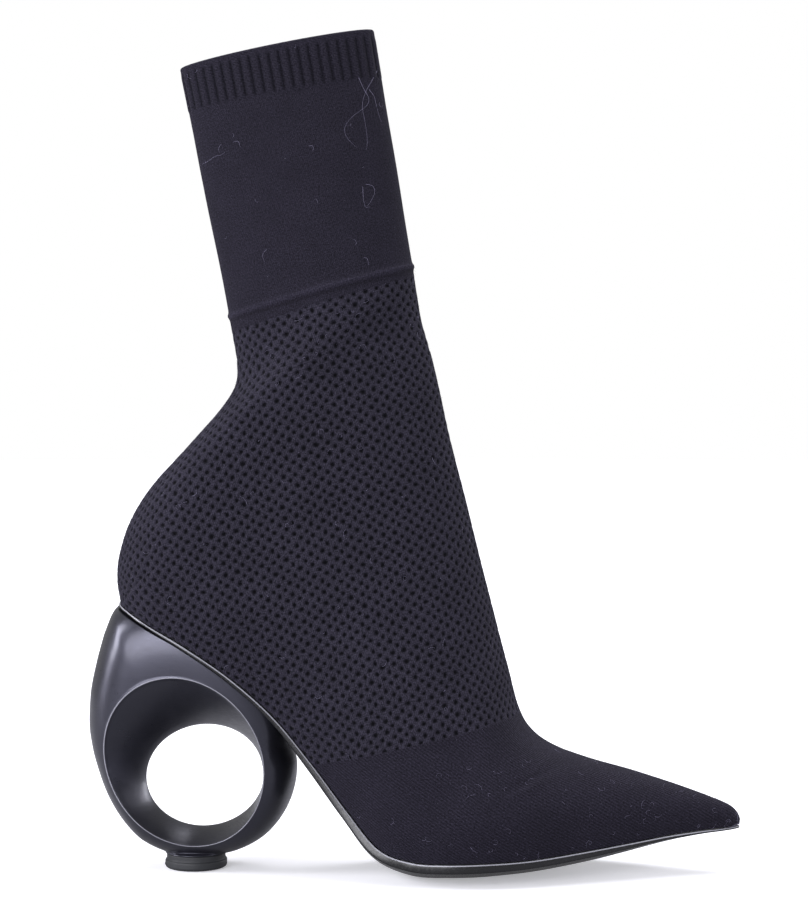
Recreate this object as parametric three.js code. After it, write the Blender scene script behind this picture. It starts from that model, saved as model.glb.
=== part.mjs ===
// Knit ankle boot with a pointed toe and a ring heel, right foot, in millimetres.
// The heel tip's underside is centred on the origin. +X runs to the toe, +Y to the inner side of the foot.
import * as THREE from "three";

// Driving sizes of the last
const footLength = 232; // heel back to toe tip, measured along the floor
const ballWidth = 72; // width of the tread line at the ball
const legWidth = 63; // widest part of the leg and the heel, side to side
const heelHeight = 100; // floor to the back edge of the heel seat
const shaftRise = 216; // back edge of the heel seat to the front of the collar

// Walls and clearances
const knitWall = 1.8; // knit and its bonded lining
const seatGap = 0.3; // between pieces that meet
const soleMargin = 0.5; // sole edge outside the feather line
const treadDrop = 6.2; // the last's bottom dips this far between its edges at the ball
const insoleThickness = 2;
const insoleRow = 4.3; // the insole starts here, behind the toe puff

// Top lift under the heel
const liftHeight = 5.5;
const liftRadius = { along: 11.7, across: 12.4 };
const liftChamfer = 0.6;

// Ring heel. The openings stand off the ring's centre and leave their own walls inside its circle.
const ringRadius = 37;
const liftSink = 3.3; // the ring's circle would run this far into the top lift
const ringCentre = { x: 1.5, z: liftHeight + seatGap + ringRadius - liftSink };
const rimOpening = {
  x: ringCentre.x - 3, z: ringCentre.z + 2.8, across: ringRadius - 8, along: ringRadius - 4.1, tilt: 28,
};
const throatOpening = {
  x: ringCentre.x + 2, z: ringCentre.z - 4.7, across: ringRadius - 14.4, along: ringRadius - 17.8, tilt: 9,
};
const heelTopHalf = 28.4; // half width of the heel's faces at the seat
const heelFootHalf = 14.6; // half width of the heel's faces at the tip
const faceSpread = 0.75; // below 1 the faces widen early above the tip
const crownSharpness = 7; // how late the faces turn over to the ring's crest
const funnelDepth = 1.8; // how fast the bore leaves its rim for the throat
const waistCut = { from: 5, to: 45, outer: 0.06, inner: 0.16 }; // narrowing of the faces towards the arch

// Sections of the last, from the toe tip to the collar. Each is a slanted plane across the foot.
// backX and frontX are shares of footLength. Low shares are of heelHeight and high shares of shaftRise.
// Feather and wide columns are half widths: feather as shares of ballWidth, wide of the width named by leg,
// which is 0 where the ball width rules and 1 where the leg width does. Swing is a share of ballWidth.
// Level is where the section is widest, tuck how the wall starts at the feather, shoulder how it closes.
const sectionColumns = [
  "backX", "backLow", "backHigh", "frontX", "frontLow", "frontHigh",
  "featherOuter", "featherInner", "wideOuter", "wideInner", "leg", "swing", "level", "tuck", "shoulder",
];
const sectionTable = [
  [0.884, 0.178, 0, 0.884, 0.178, 0, 0, 0, 0, 0, 0, 0.07, 0.4, 1, 2],
  [0.872, 0.175, 0, 0.884, 0.209, 0, 0.036, 0.036, 0.045, 0.045, 0, 0.07, 0.4, 1, 2],
  [0.852, 0.171, 0, 0.87, 0.248, 0, 0.061, 0.061, 0.072, 0.072, 0, 0.069, 0.4, 1, 2],
  [0.819, 0.167, 0, 0.832, 0.286, 0, 0.1, 0.103, 0.116, 0.119, 0, 0.066, 0.4, 1, 2],
  [0.767, 0.156, 0, 0.778, 0.331, 0, 0.161, 0.167, 0.183, 0.19, 0, 0.058, 0.4, 1, 2],
  [0.703, 0.137, 0, 0.713, 0.377, 0, 0.24, 0.258, 0.269, 0.287, 0, 0.046, 0.4, 1, 2],
  [0.629, 0.116, 0, 0.642, 0.423, 0, 0.331, 0.361, 0.367, 0.396, 0, 0.03, 0.38, 1, 1.95],
  [0.552, 0.099, 0, 0.58, 0.477, 0, 0.43, 0.458, 0.472, 0.497, 0, 0.016, 0.36, 1, 1.85],
  [0.483, 0.093, 0, 0.545, 0.54, 0, 0.489, 0.493, 0.53, 0.533, 0, 0.006, 0.33, 1, 1.75],
  [0.418, 0.09, 0, 0.526, 0.625, 0, 0.503, 0.444, 0.545, 0.5, 0, 0, 0.29, 1, 1.65],
  [0.362, 0.092, 0, 0.511, 0.765, 0, 0.458, 0.361, 0.53, 0.444, 0.05, -0.002, 0.26, 1, 1.6],
  [0.31, 0.13, 0, 0.494, 0.915, 0, 0.389, 0.285, 0.525, 0.43, 0.25, -0.004, 0.27, 1, 1.6],
  [0.259, 0.262, 0, 0.477, 1, 0.032, 0.34, 0.243, 0.51, 0.43, 0.5, -0.004, 0.29, 1, 1.65],
  [0.203, 0.43, 0, 0.459, 1, 0.11, 0.322, 0.247, 0.5, 0.45, 0.75, -0.002, 0.3, 0.95, 1.7],
  [0.142, 0.6, 0, 0.441, 1, 0.186, 0.326, 0.278, 0.495, 0.47, 1, 0, 0.3, 0.85, 1.75],
  [0.073, 0.745, 0, 0.425, 1, 0.252, 0.351, 0.328, 0.495, 0.48, 1, 0, 0.29, 0.75, 1.8],
  [0, 0.861, 0, 0.411, 1, 0.314, 0.361, 0.354, 0.498, 0.49, 1, 0, 0.29, 0.68, 1.85],
  [-0.056, 0.931, 0, 0.4, 1, 0.367, 0.318, 0.315, 0.5, 0.495, 1, 0, 0.3, 0.66, 1.9],
  [-0.093, 0.976, 0, 0.392, 1, 0.405, 0.233, 0.233, 0.5, 0.5, 1, 0, 0.31, 0.64, 1.9],
  [-0.115, 1, 0, 0.387, 1, 0.428, 0.122, 0.122, 0.5, 0.5, 1, 0, 0.31, 0.58, 1.9],
  [-0.1225, 1, 0.004, 0.383, 1, 0.444, 0, 0, 0.5, 0.5, 1, 0, 0.31, 0.5, 1.9],
  [-0.1275, 1, 0.042, 0.377, 1, 0.467, -0.12, -0.12, 0.496, 0.496, 1, 0, 0.315, 0.5, 1.9],
  [-0.124, 1, 0.086, 0.371, 1, 0.489, -0.2, -0.2, 0.486, 0.486, 1, 0, 0.33, 0.5, 1.9],
  [-0.106, 1, 0.144, 0.367, 1, 0.51, -0.2, -0.2, 0.468, 0.468, 1, 0, 0.35, 0.5, 1.9],
  [-0.069, 1, 0.207, 0.364, 1, 0.53, -0.2, -0.2, 0.443, 0.443, 1, 0, 0.38, 0.5, 1.9],
  [-0.012, 1, 0.274, 0.361, 1, 0.548, -0.2, -0.2, 0.412, 0.412, 1, 0, 0.42, 0.5, 1.88],
  [0.04, 1, 0.336, 0.359, 1, 0.562, -0.2, -0.2, 0.38, 0.38, 1, 0, 0.455, 0.5, 1.84],
  [0.066, 1, 0.381, 0.357, 1, 0.577, -0.2, -0.2, 0.354, 0.354, 1, 0, 0.485, 0.5, 1.8],
  [0.069, 1, 0.421, 0.355, 1, 0.592, -0.2, -0.2, 0.336, 0.336, 1, 0, 0.5, 0.5, 1.8],
  [0.062, 1, 0.471, 0.352, 1, 0.611, -0.2, -0.2, 0.32, 0.32, 1, 0, 0.5, 0.5, 1.85],
  [0.05, 1, 0.541, 0.346, 1, 0.652, -0.2, -0.2, 0.3, 0.3, 1, 0, 0.5, 0.5, 1.92],
  [0.032, 1, 0.636, 0.336, 1, 0.718, -0.2, -0.2, 0.277, 0.277, 1, 0, 0.5, 0.5, 2],
  [0.011, 1, 0.744, 0.321, 1, 0.814, -0.2, -0.2, 0.256, 0.256, 1, 0, 0.5, 0.5, 2],
  [-0.008, 1, 0.851, 0.306, 1, 0.908, -0.2, -0.2, 0.239, 0.239, 1, 0, 0.5, 0.5, 2],
  [-0.024, 1, 0.935, 0.292, 1, 1, -0.2, -0.2, 0.226, 0.226, 1, 0, 0.5, 0.5, 2],
];
const heelBackRow = 20; // row where the feather line closes round the back of the heel
const collarRow = sectionTable.length - 1;
const cavityRow = 3.4; // the hollow ends here, behind a solid toe puff

// Sole along the sections that touch it. Dip is a share of treadDrop, thickness is in millimetres because
// it is the sole sheet's own.
const soleTable = {
  columns: ["row", "dip", "thickness"],
  rows: [
    [0, 0, 1], [2, 0.04, 1], [4, 0.28, 1.5], [6, 0.72, 2.6], [8, 1, 3.3], [9, 1, 3.4], [10, 0.92, 3.4],
    [11, 0.6, 3.2], [12, 0.25, 2.9], [13, 0.06, 2.5], [14, 0, 1.9], [16, 0, 1.4], [20, 0, 1.2],
  ],
};

// Crest of the ring heel. Turn is in degrees from the heel's back corner, lift is how far the crest has
// left the ring's own circle (0) for the distance of that corner (1).
const crestTable = {
  columns: ["turn", "lift"],
  rows: [
    [-244, -0.02], [-220, -0.045], [-200, -0.06], [-180, -0.03], [-160, 0], [-118, 0], [-104, -0.03],
    [-90, 0.1], [-76, 0.3], [-60, 0.55], [-44, 0.78], [-28, 0.95], [-14, 1.02], [0, 1], [6.5, 0.85],
    [12.5, 0.7], [19.3, 0.56], [26.8, 0.44], [34.9, 0.325], [44.5, 0.22], [53, 0.135], [66, 0.04],
    [80, -0.01], [96, -0.03], [116, -0.02],
  ],
};

// Mesh steps
const openSections = 32;
const closedSections = 22;
const lowerSteps = 5;
const upperSteps = 8;
const soleSections = 36;
const soleSteps = 10;
const ringSteps = 64;
const faceSteps = 4;
const throatSteps = 4;
const liftSteps = 36;
const seatSearchSteps = 40;
const weldsPerMillimetre = 1e4; // corners closer than this are one corner

// Cubic through four neighbouring values, for a share between the middle two.
function cubic(before, start, end, after, share) {
  const leave = (end - before) / 2;
  const arrive = (after - start) / 2;
  const rise = end - start;
  const bend = 3 * rise - 2 * leave - arrive;
  const turn = leave + arrive - 2 * rise;
  return start + share * (leave + share * (bend + share * turn));
}

// One row of the section table at any place between its rows, as an object with the column names. The
// back line turns a corner at heelBackRow, where the seat ends, so its curve doesn't look past that row.
function sectionAt(station) {
  const last = sectionTable.length - 1;
  const low = Math.min(Math.floor(station), last - 1);
  const start = sectionTable[low];
  const end = sectionTable[low + 1];
  const before = low > 0 ? sectionTable[low - 1] : start.map((value, k) => 2 * value - end[k]);
  const after = low + 2 <= last ? sectionTable[low + 2] : end.map((value, k) => 2 * value - start[k]);
  const row = {};
  sectionColumns.forEach((name, k) => {
    const line = name.startsWith("back");
    const from = line && low === heelBackRow ? 2 * start[k] - end[k] : before[k];
    const to = line && low + 1 === heelBackRow ? 2 * end[k] - start[k] : after[k];
    row[name] = cubic(from, start[k], end[k], to, station - low);
  });
  return row;
}

// Smooth value of a named column at a place on the table's uneven first column.
function tableValue({ columns, rows }, place, name) {
  const column = columns.indexOf(name);
  let k = 0;
  while (k < rows.length - 2 && rows[k + 1][0] < place) k += 1;
  const before = rows[Math.max(k - 1, 0)];
  const start = rows[k];
  const end = rows[k + 1];
  const after = rows[Math.min(k + 2, rows.length - 1)];
  const span = end[0] - start[0];
  const slope = (a, b) => (b[0] > a[0] ? (b[column] - a[column]) / (b[0] - a[0]) : 0);
  const leave = slope(before, end) * span;
  const arrive = slope(start, after) * span;
  const share = (place - start[0]) / span;
  const rise = end[column] - start[column];
  const bend = 3 * rise - 2 * leave - arrive;
  const turn = leave + arrive - 2 * rise;
  return start[column] + share * (leave + share * (bend + share * turn));
}

// The section at a station in millimetres: its back and front points and its half widths on each side.
function lastSection(station) {
  const row = sectionAt(station);
  const height = (low, high) => low * heelHeight + high * shaftRise;
  const widthUnit = ballWidth + (legWidth - ballWidth) * row.leg;
  const closed = station >= heelBackRow;
  const featherHalf = (share) => (closed ? 0 : Math.max(share, 0) * ballWidth);
  return {
    back: { x: row.backX * footLength, z: height(row.backLow, row.backHigh) },
    front: { x: row.frontX * footLength, z: height(row.frontLow, row.frontHigh) },
    feather: [row.featherOuter, row.featherInner].map(featherHalf),
    wide: [row.wideOuter, row.wideInner].map((share) => share * widthUnit),
    swing: row.swing * ballWidth,
    level: row.level,
    tuck: closed ? 0.5 : row.tuck,
    shoulder: row.shoulder,
  };
}

// A point of the last's surface. Side 0 is the outer side and 1 the inner, turn runs from -1 at the
// feather through 0 at the widest place to 1 at the front line.
function lastPoint(section, side, turn) {
  const angle = (Math.abs(turn) * Math.PI) / 2;
  const feather = section.feather[side];
  const wide = section.wide[side];
  let share;
  let half;
  if (turn < 0) {
    const climb = Math.PI / 2 - angle;
    share = section.level * (1 - Math.cos(climb));
    half = feather + (wide - feather) * Math.sin(climb) ** (2 * section.tuck);
  } else {
    share = section.level + (1 - section.level) * Math.sin(angle);
    half = wide * Math.sqrt(Math.max(0, 1 - Math.sin(angle) ** section.shoulder));
  }
  const { back, front } = section;
  return new THREE.Vector3(
    back.x + (front.x - back.x) * share,
    section.swing + (side === 0 ? -half : half),
    back.z + (front.z - back.z) * share,
  );
}

// One section's points from the outer feather over the front line to the inner feather.
function sectionPoints(station) {
  const section = lastSection(station);
  const turns = [];
  for (let k = lowerSteps; k > 0; k -= 1) turns.push(-k / lowerSteps);
  for (let k = 0; k < upperSteps; k += 1) turns.push(k / upperSteps);
  const outer = turns.map((turn) => lastPoint(section, 0, turn));
  const inner = turns.map((turn) => lastPoint(section, 1, turn)).reverse();
  return [...outer, lastPoint(section, 0, 1), ...inner];
}

// Stations spread evenly between two rows, both ends included.
function stations(from, to, count) {
  return Array.from({ length: count + 1 }, (_, k) => from + ((to - from) * k) / count);
}

// Triangle soup that becomes a named closed mesh: shared corners are joined and empty triangles dropped.
class Shell {
  constructor() {
    this.corners = [];
    this.triangles = [];
    this.known = new Map();
  }

  corner(point) {
    const key = [point.x, point.y, point.z].map((value) => Math.round(value * weldsPerMillimetre)).join(" ");
    if (!this.known.has(key)) {
      this.known.set(key, this.corners.length);
      this.corners.push(point);
    }
    return this.known.get(key);
  }

  triangle(a, b, c) {
    const [i, j, k] = [a, b, c].map((point) => this.corner(point));
    if (i !== j && j !== k && k !== i) this.triangles.push([i, j, k]);
  }

  // Rows of points joined by quads. Each quad is split along its shorter diagonal.
  sheet(rows) {
    for (let i = 0; i + 1 < rows.length; i += 1) {
      for (let j = 0; j + 1 < rows[i].length; j += 1) {
        const [a, b, c, d] = [rows[i][j], rows[i + 1][j], rows[i + 1][j + 1], rows[i][j + 1]];
        if (a.distanceTo(c) <= b.distanceTo(d)) {
          this.triangle(a, b, c);
          this.triangle(a, c, d);
        } else {
          this.triangle(a, b, d);
          this.triangle(b, c, d);
        }
      }
    }
  }

  // Triangles from a centre to a run of points.
  fan(centre, rim) {
    for (let k = 0; k + 1 < rim.length; k += 1) this.triangle(centre, rim[k], rim[k + 1]);
  }

  mesh(name, look) {
    let volume = 0;
    for (const [i, j, k] of this.triangles) {
      const [a, b, c] = [this.corners[i], this.corners[j], this.corners[k]];
      volume += a.dot(new THREE.Vector3().crossVectors(b, c)) / 6;
    }
    const outward = volume < 0 ? this.triangles.map(([i, j, k]) => [i, k, j]) : this.triangles;
    const geometry = new THREE.BufferGeometry();
    const flat = this.corners.flatMap((point) => [point.x, point.y, point.z]);
    geometry.setAttribute("position", new THREE.Float32BufferAttribute(flat, 3));
    geometry.setIndex(outward.flat());
    geometry.computeVertexNormals();
    const mesh = new THREE.Mesh(geometry, new THREE.MeshStandardMaterial(look));
    mesh.name = name;
    return mesh;
  }
}

// Outward normals of a grid whose closed rows meet end to end at their first and last points.
function gridNormals(rows, closedFrom) {
  const step = new THREE.Vector3();
  const across = new THREE.Vector3();
  return rows.map((row, i) => row.map((_, j) => {
    const last = row.length - 1;
    const closed = i >= closedFrom;
    const seam = closed && (j === 0 || j === last);
    const next = seam ? row[1] : row[Math.min(j + 1, last)];
    const before = seam ? row[last - 1] : row[Math.max(j - 1, 0)];
    across.subVectors(next, before);
    step.subVectors(rows[Math.min(i + 1, rows.length - 1)][j], rows[Math.max(i - 1, 0)][j]);
    return new THREE.Vector3().crossVectors(across, step).normalize();
  }));
}

// Knit upper: one wall from the toe to the collar, open at the collar and over the sole.
function makeUpper() {
  const open = stations(0, heelBackRow, openSections);
  const closed = stations(heelBackRow, collarRow, closedSections).slice(1);
  const outer = [...open, ...closed].map(sectionPoints);
  const normals = gridNormals(outer, openSections);
  const inner = outer.map((row, i) => row.map((point, j) => (
    point.clone().addScaledVector(normals[i][j], -knitWall)
  )));
  const first = open.findIndex((station) => station >= cavityRow);
  const end = outer[0].length - 1;
  const shell = new Shell();
  shell.sheet([...outer, ...inner.slice(first).reverse()]);
  const feather = inner.slice(first, openSections + 1);
  shell.sheet(feather.map((row, k) => [row[0], outer[first + k][0]]));
  shell.sheet(feather.map((row, k) => [outer[first + k][end], row[end]]));
  shell.sheet(outer.slice(0, first + 1).map((row) => [row[end], row[0]]));
  shell.sheet([[outer[first][end], outer[first][0]], [inner[first][end], inner[first][0]]]);
  const puff = inner[first];
  const centre = puff[0].clone().add(puff[end]).add(puff[lowerSteps + upperSteps]).divideScalar(3);
  shell.fan(centre, [...puff].reverse());
  shell.triangle(centre, puff[0], puff[end]);
  return shell.mesh("upper", { color: 0x2b2a33, roughness: 0.95, metalness: 0 });
}

// Downward direction square to the sole line at a station, in the plane of the foot's length.
function soleDown(station) {
  const nudge = 0.2;
  const place = Math.min(Math.max(station, nudge), heelBackRow - 1);
  const ahead = lastSection(place - nudge).back;
  const behind = lastSection(place + nudge).back;
  const down = new THREE.Vector3(ahead.z - behind.z, 0, behind.x - ahead.x);
  return down.normalize();
}

// Feather edge of the last on one side.
function featherPoint(station, side) {
  const section = lastSection(station);
  const half = section.feather[side];
  return new THREE.Vector3(section.back.x, section.swing + (side === 0 ? -half : half), section.back.z);
}

// Feather edge let out square to its own line, or in where ease is negative. The line runs on past the toe
// tip and the heel back as the other side's, so that both ends stay round.
function edgePoint(station, side, ease) {
  const nudge = 0.1;
  const at = (place) => {
    const past = place < 0 || place > heelBackRow;
    const inside = place < 0 ? -place : Math.min(place, 2 * heelBackRow - place);
    return featherPoint(inside, past ? 1 - side : side);
  };
  const along = at(station + nudge).sub(at(station - nudge));
  const outward = new THREE.Vector3().crossVectors(along, soleDown(station)).normalize();
  return featherPoint(station, side).addScaledVector(outward, side === 0 ? ease : -ease);
}

// One point under the last. Across runs from -1 at the outer edge to 1 at the inner, depth goes downwards.
function bottomPoint(station, across, ease, depth) {
  const point = edgePoint(station, 0, ease).lerp(edgePoint(station, 1, ease), (across + 1) / 2);
  const [outer, inner] = [featherPoint(station, 0).y, featherPoint(station, 1).y];
  const half = Math.max((inner - outer) / 2, 1);
  const place = Math.min(Math.abs(point.y - (outer + inner) / 2) / half, 1);
  const dip = tableValue(soleTable, station, "dip") * treadDrop * (1 - place * place);
  return point.addScaledVector(soleDown(station), depth + dip);
}

// Closed plate under the last between two depths. Rings run round the plate's section.
function plate(from, to, ease, top, thicknessAt, steps) {
  const shell = new Shell();
  const across = stations(-1, 1, soleSteps);
  const rings = stations(from, to, steps).map((station) => {
    const upper = across.map((share) => bottomPoint(station, share, ease, top));
    const lower = across.map((share) => {
      const point = bottomPoint(station, share, ease, top + thicknessAt(station));
      point.z = Math.max(point.z, 0);
      return point;
    });
    return [...upper, ...lower.reverse(), upper[0]];
  });
  shell.sheet(rings);
  const halfway = soleSteps / 2;
  const middle = (ring) => ring[halfway].clone().lerp(ring[soleSteps + 1 + halfway], 0.5);
  shell.fan(middle(rings[0]), rings[0]);
  shell.fan(middle(rings.at(-1)), [...rings.at(-1)].reverse());
  return shell;
}

const soleThickness = (station) => tableValue(soleTable, station, "thickness");

// Outsole: one sheet from the toe tip to the heel back, flat where the ball bears on the floor.
function makeOutsole() {
  const shell = plate(0, heelBackRow, soleMargin, seatGap, soleThickness, soleSections);
  return shell.mesh("outsole", { color: 0x141416, roughness: 0.5, metalness: 0 });
}

// Insole: a board that lies on the outsole inside the wall.
function makeInsole() {
  const ease = -(knitWall + 2 * seatGap);
  const top = -insoleThickness - seatGap;
  const shell = plate(insoleRow, heelBackRow, ease, top, () => insoleThickness, soleSections);
  return shell.mesh("insole", { color: 0x1c1c20, roughness: 0.9, metalness: 0 });
}

// Seat line of the heel under the sole, in the plane of the foot's length.
function seatPoint(station) {
  const depth = seatGap + soleThickness(station) + seatGap;
  return bottomPoint(station, 0, 0, depth);
}

const seatEnd = seatPoint(heelBackRow);
const backAngle = Math.atan2(seatEnd.z - ringCentre.z, seatEnd.x - ringCentre.x);
const seatReach = Math.hypot(seatEnd.x - ringCentre.x, seatEnd.z - ringCentre.z);

// Distance of the crest from the ring's centre at an angle in radians.
function crestReach(angle) {
  const [lowest, highest] = [crestTable.rows[0][0], crestTable.rows.at(-1)[0]];
  let turn = THREE.MathUtils.radToDeg(angle - backAngle);
  while (turn > highest) turn -= 360;
  while (turn < lowest) turn += 360;
  return ringRadius + (seatReach - ringRadius) * tableValue(crestTable, turn, "lift");
}

// Distance of an oval opening's edge from the ring's centre at an angle.
function openingReach(opening, angle) {
  const tilt = THREE.MathUtils.degToRad(opening.tilt);
  const dx = ringCentre.x - opening.x;
  const dz = ringCentre.z - opening.z;
  const turned = (x, z) => [
    (x * Math.cos(tilt) + z * Math.sin(tilt)) / opening.across,
    (z * Math.cos(tilt) - x * Math.sin(tilt)) / opening.along,
  ];
  const [px, pz] = turned(dx, dz);
  const [qx, qz] = turned(Math.cos(angle), Math.sin(angle));
  const a = qx * qx + qz * qz;
  const b = px * qx + pz * qz;
  const c = px * px + pz * pz - 1;
  return (-b + Math.sqrt(b * b - a * c)) / a;
}

// Distance of the seat line from the ring's centre at an angle, or infinity where the ray misses it.
function seatDistance(angle) {
  const angleAt = (station) => {
    const point = seatPoint(station);
    return Math.atan2(point.z - ringCentre.z, point.x - ringCentre.x);
  };
  let near = heelBackRow / 2;
  let far = heelBackRow;
  if (angle > angleAt(far) || angle < angleAt(near)) return Infinity;
  for (let k = 0; k < seatSearchSteps; k += 1) {
    const middle = (near + far) / 2;
    if (angleAt(middle) < angle) near = middle;
    else far = middle;
  }
  const point = seatPoint(far);
  return Math.hypot(point.x - ringCentre.x, point.z - ringCentre.z);
}

// Half width of the heel's face at a place beside the ring's centre. The faces widen from the tip to the
// seat, turn over to the crest, and swell round the top lift.
function faceHalf(angle, reach, side) {
  const x = ringCentre.x + reach * Math.cos(angle);
  const z = ringCentre.z + reach * Math.sin(angle);
  const climb = Math.max(z, 0) / seatEnd.z;
  const cut = side === 0 ? waistCut.outer : waistCut.inner;
  const waist = THREE.MathUtils.smoothstep(x, waistCut.from, waistCut.to) * cut;
  const full = (heelFootHalf + (heelTopHalf - heelFootHalf) * climb ** faceSpread) * (1 - waist);
  const share = Math.min(reach / crestReach(angle), 1);
  const face = full * Math.sqrt(1 - share ** crownSharpness);
  const boss = Math.sqrt(Math.max(0, liftRadius.across ** 2 * (1 - (x / liftRadius.along) ** 2)));
  const fade = 1 - THREE.MathUtils.smoothstep(z, liftHeight + seatGap, rimOpening.z - rimOpening.along);
  return Math.max(face, boss * fade);
}

// Heel: a crowned ring with a waisted hole, cut off flat over the top lift and along the sole above.
function makeHeel() {
  const shell = new Shell();
  const foot = liftHeight + seatGap;
  const point = (angle, reach, half) => new THREE.Vector3(
    ringCentre.x + reach * Math.cos(angle),
    half,
    ringCentre.z + reach * Math.sin(angle),
  );
  const shares = stations(0, 1, faceSteps).map((share) => 1 - Math.cos((share * Math.PI) / 2));
  const waists = stations(0, 1, throatSteps);
  const sideOf = (angle, outerReach, side) => {
    const sign = side === 0 ? -1 : 1;
    const rimReach = openingReach(rimOpening, angle);
    const throatReach = openingReach(throatOpening, angle);
    const rimHalf = faceHalf(angle, rimReach, side);
    const face = shares.map((share) => {
      const reach = outerReach + (rimReach - outerReach) * share;
      return point(angle, reach, sign * faceHalf(angle, reach, side));
    });
    const bore = waists.slice(1).map((share) => {
      const left = 1 - share;
      const reach = throatReach + (rimReach - throatReach) * left ** funnelDepth;
      return point(angle, reach, sign * rimHalf * left);
    });
    return [...face, ...bore];
  };
  const rings = stations(0, 2 * Math.PI, ringSteps).map((turn) => {
    const angle = backAngle - turn;
    const folded = Math.atan2(Math.sin(angle), Math.cos(angle));
    let outerReach = Math.min(crestReach(folded), seatDistance(folded));
    if (Math.sin(folded) < 0) outerReach = Math.min(outerReach, (ringCentre.z - foot) / -Math.sin(folded));
    const outer = sideOf(folded, outerReach, 0);
    const inner = sideOf(folded, outerReach, 1).reverse();
    return [point(folded, outerReach, 0), ...outer, ...inner.slice(1), point(folded, outerReach, 0)];
  });
  rings[rings.length - 1] = rings[0];
  shell.sheet(rings);
  return shell.mesh("heel", { color: 0x26272b, roughness: 0.38, metalness: 0 });
}

// Top lift: the rubber pad under the heel, with a small chamfer where it meets the floor.
function makeTopLift() {
  const ring = (height, inset) => stations(0, 2 * Math.PI, liftSteps).map((angle) => new THREE.Vector3(
    (liftRadius.along - inset) * Math.cos(angle),
    (liftRadius.across - inset) * Math.sin(angle),
    height,
  ));
  const rings = [ring(0, liftChamfer), ring(liftChamfer, 0), ring(liftHeight, 0)];
  const shell = new Shell();
  shell.sheet(rings);
  shell.fan(new THREE.Vector3(0, 0, 0), rings[0]);
  shell.fan(new THREE.Vector3(0, 0, liftHeight), [...rings[2]].reverse());
  return shell.mesh("top_lift", { color: 0x2c2d30, roughness: 0.75, metalness: 0 });
}

const boot = new THREE.Group();
boot.add(makeUpper(), makeOutsole(), makeInsole(), makeHeel(), makeTopLift());
export default boot;
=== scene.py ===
import bpy
import numpy as np
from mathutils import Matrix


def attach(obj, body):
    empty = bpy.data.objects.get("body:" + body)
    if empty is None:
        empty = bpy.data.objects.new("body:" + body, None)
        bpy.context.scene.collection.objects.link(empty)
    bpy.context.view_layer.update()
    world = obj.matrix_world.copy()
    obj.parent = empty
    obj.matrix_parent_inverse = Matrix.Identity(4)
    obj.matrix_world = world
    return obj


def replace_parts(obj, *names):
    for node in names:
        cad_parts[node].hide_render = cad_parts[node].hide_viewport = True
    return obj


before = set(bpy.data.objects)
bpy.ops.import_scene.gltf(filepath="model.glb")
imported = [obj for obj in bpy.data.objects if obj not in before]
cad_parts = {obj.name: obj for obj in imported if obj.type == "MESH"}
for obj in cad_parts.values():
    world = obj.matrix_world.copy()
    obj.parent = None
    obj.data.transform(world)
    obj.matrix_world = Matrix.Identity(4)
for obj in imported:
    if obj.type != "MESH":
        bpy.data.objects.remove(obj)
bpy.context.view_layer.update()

# The last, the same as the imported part's. Sections run from the toe tip to the collar, one row each. A row
# holds shares: x of the foot's length, low of the heel's height, high of the shaft's rise, feather and swing
# of the ball's width, and wide of the ball's or, as leg goes to 1, the leg's width.
last = {
    "footLength": 232,
    "ballWidth": 72,
    "legWidth": 63,
    "heelHeight": 100,
    "shaftRise": 216,
    "treadDrop": 6.2,
    "wall": 1.8,
    "seatGap": 0.3,
    "soleMargin": 0.5,
    "heelBack": 20,
    "cavity": 3.4,
}
sectionColumns = (
    "backX backLow backHigh frontX frontLow frontHigh featherOuter featherInner wideOuter wideInner "
    "leg swing level tuck shoulder"
).split()
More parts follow.
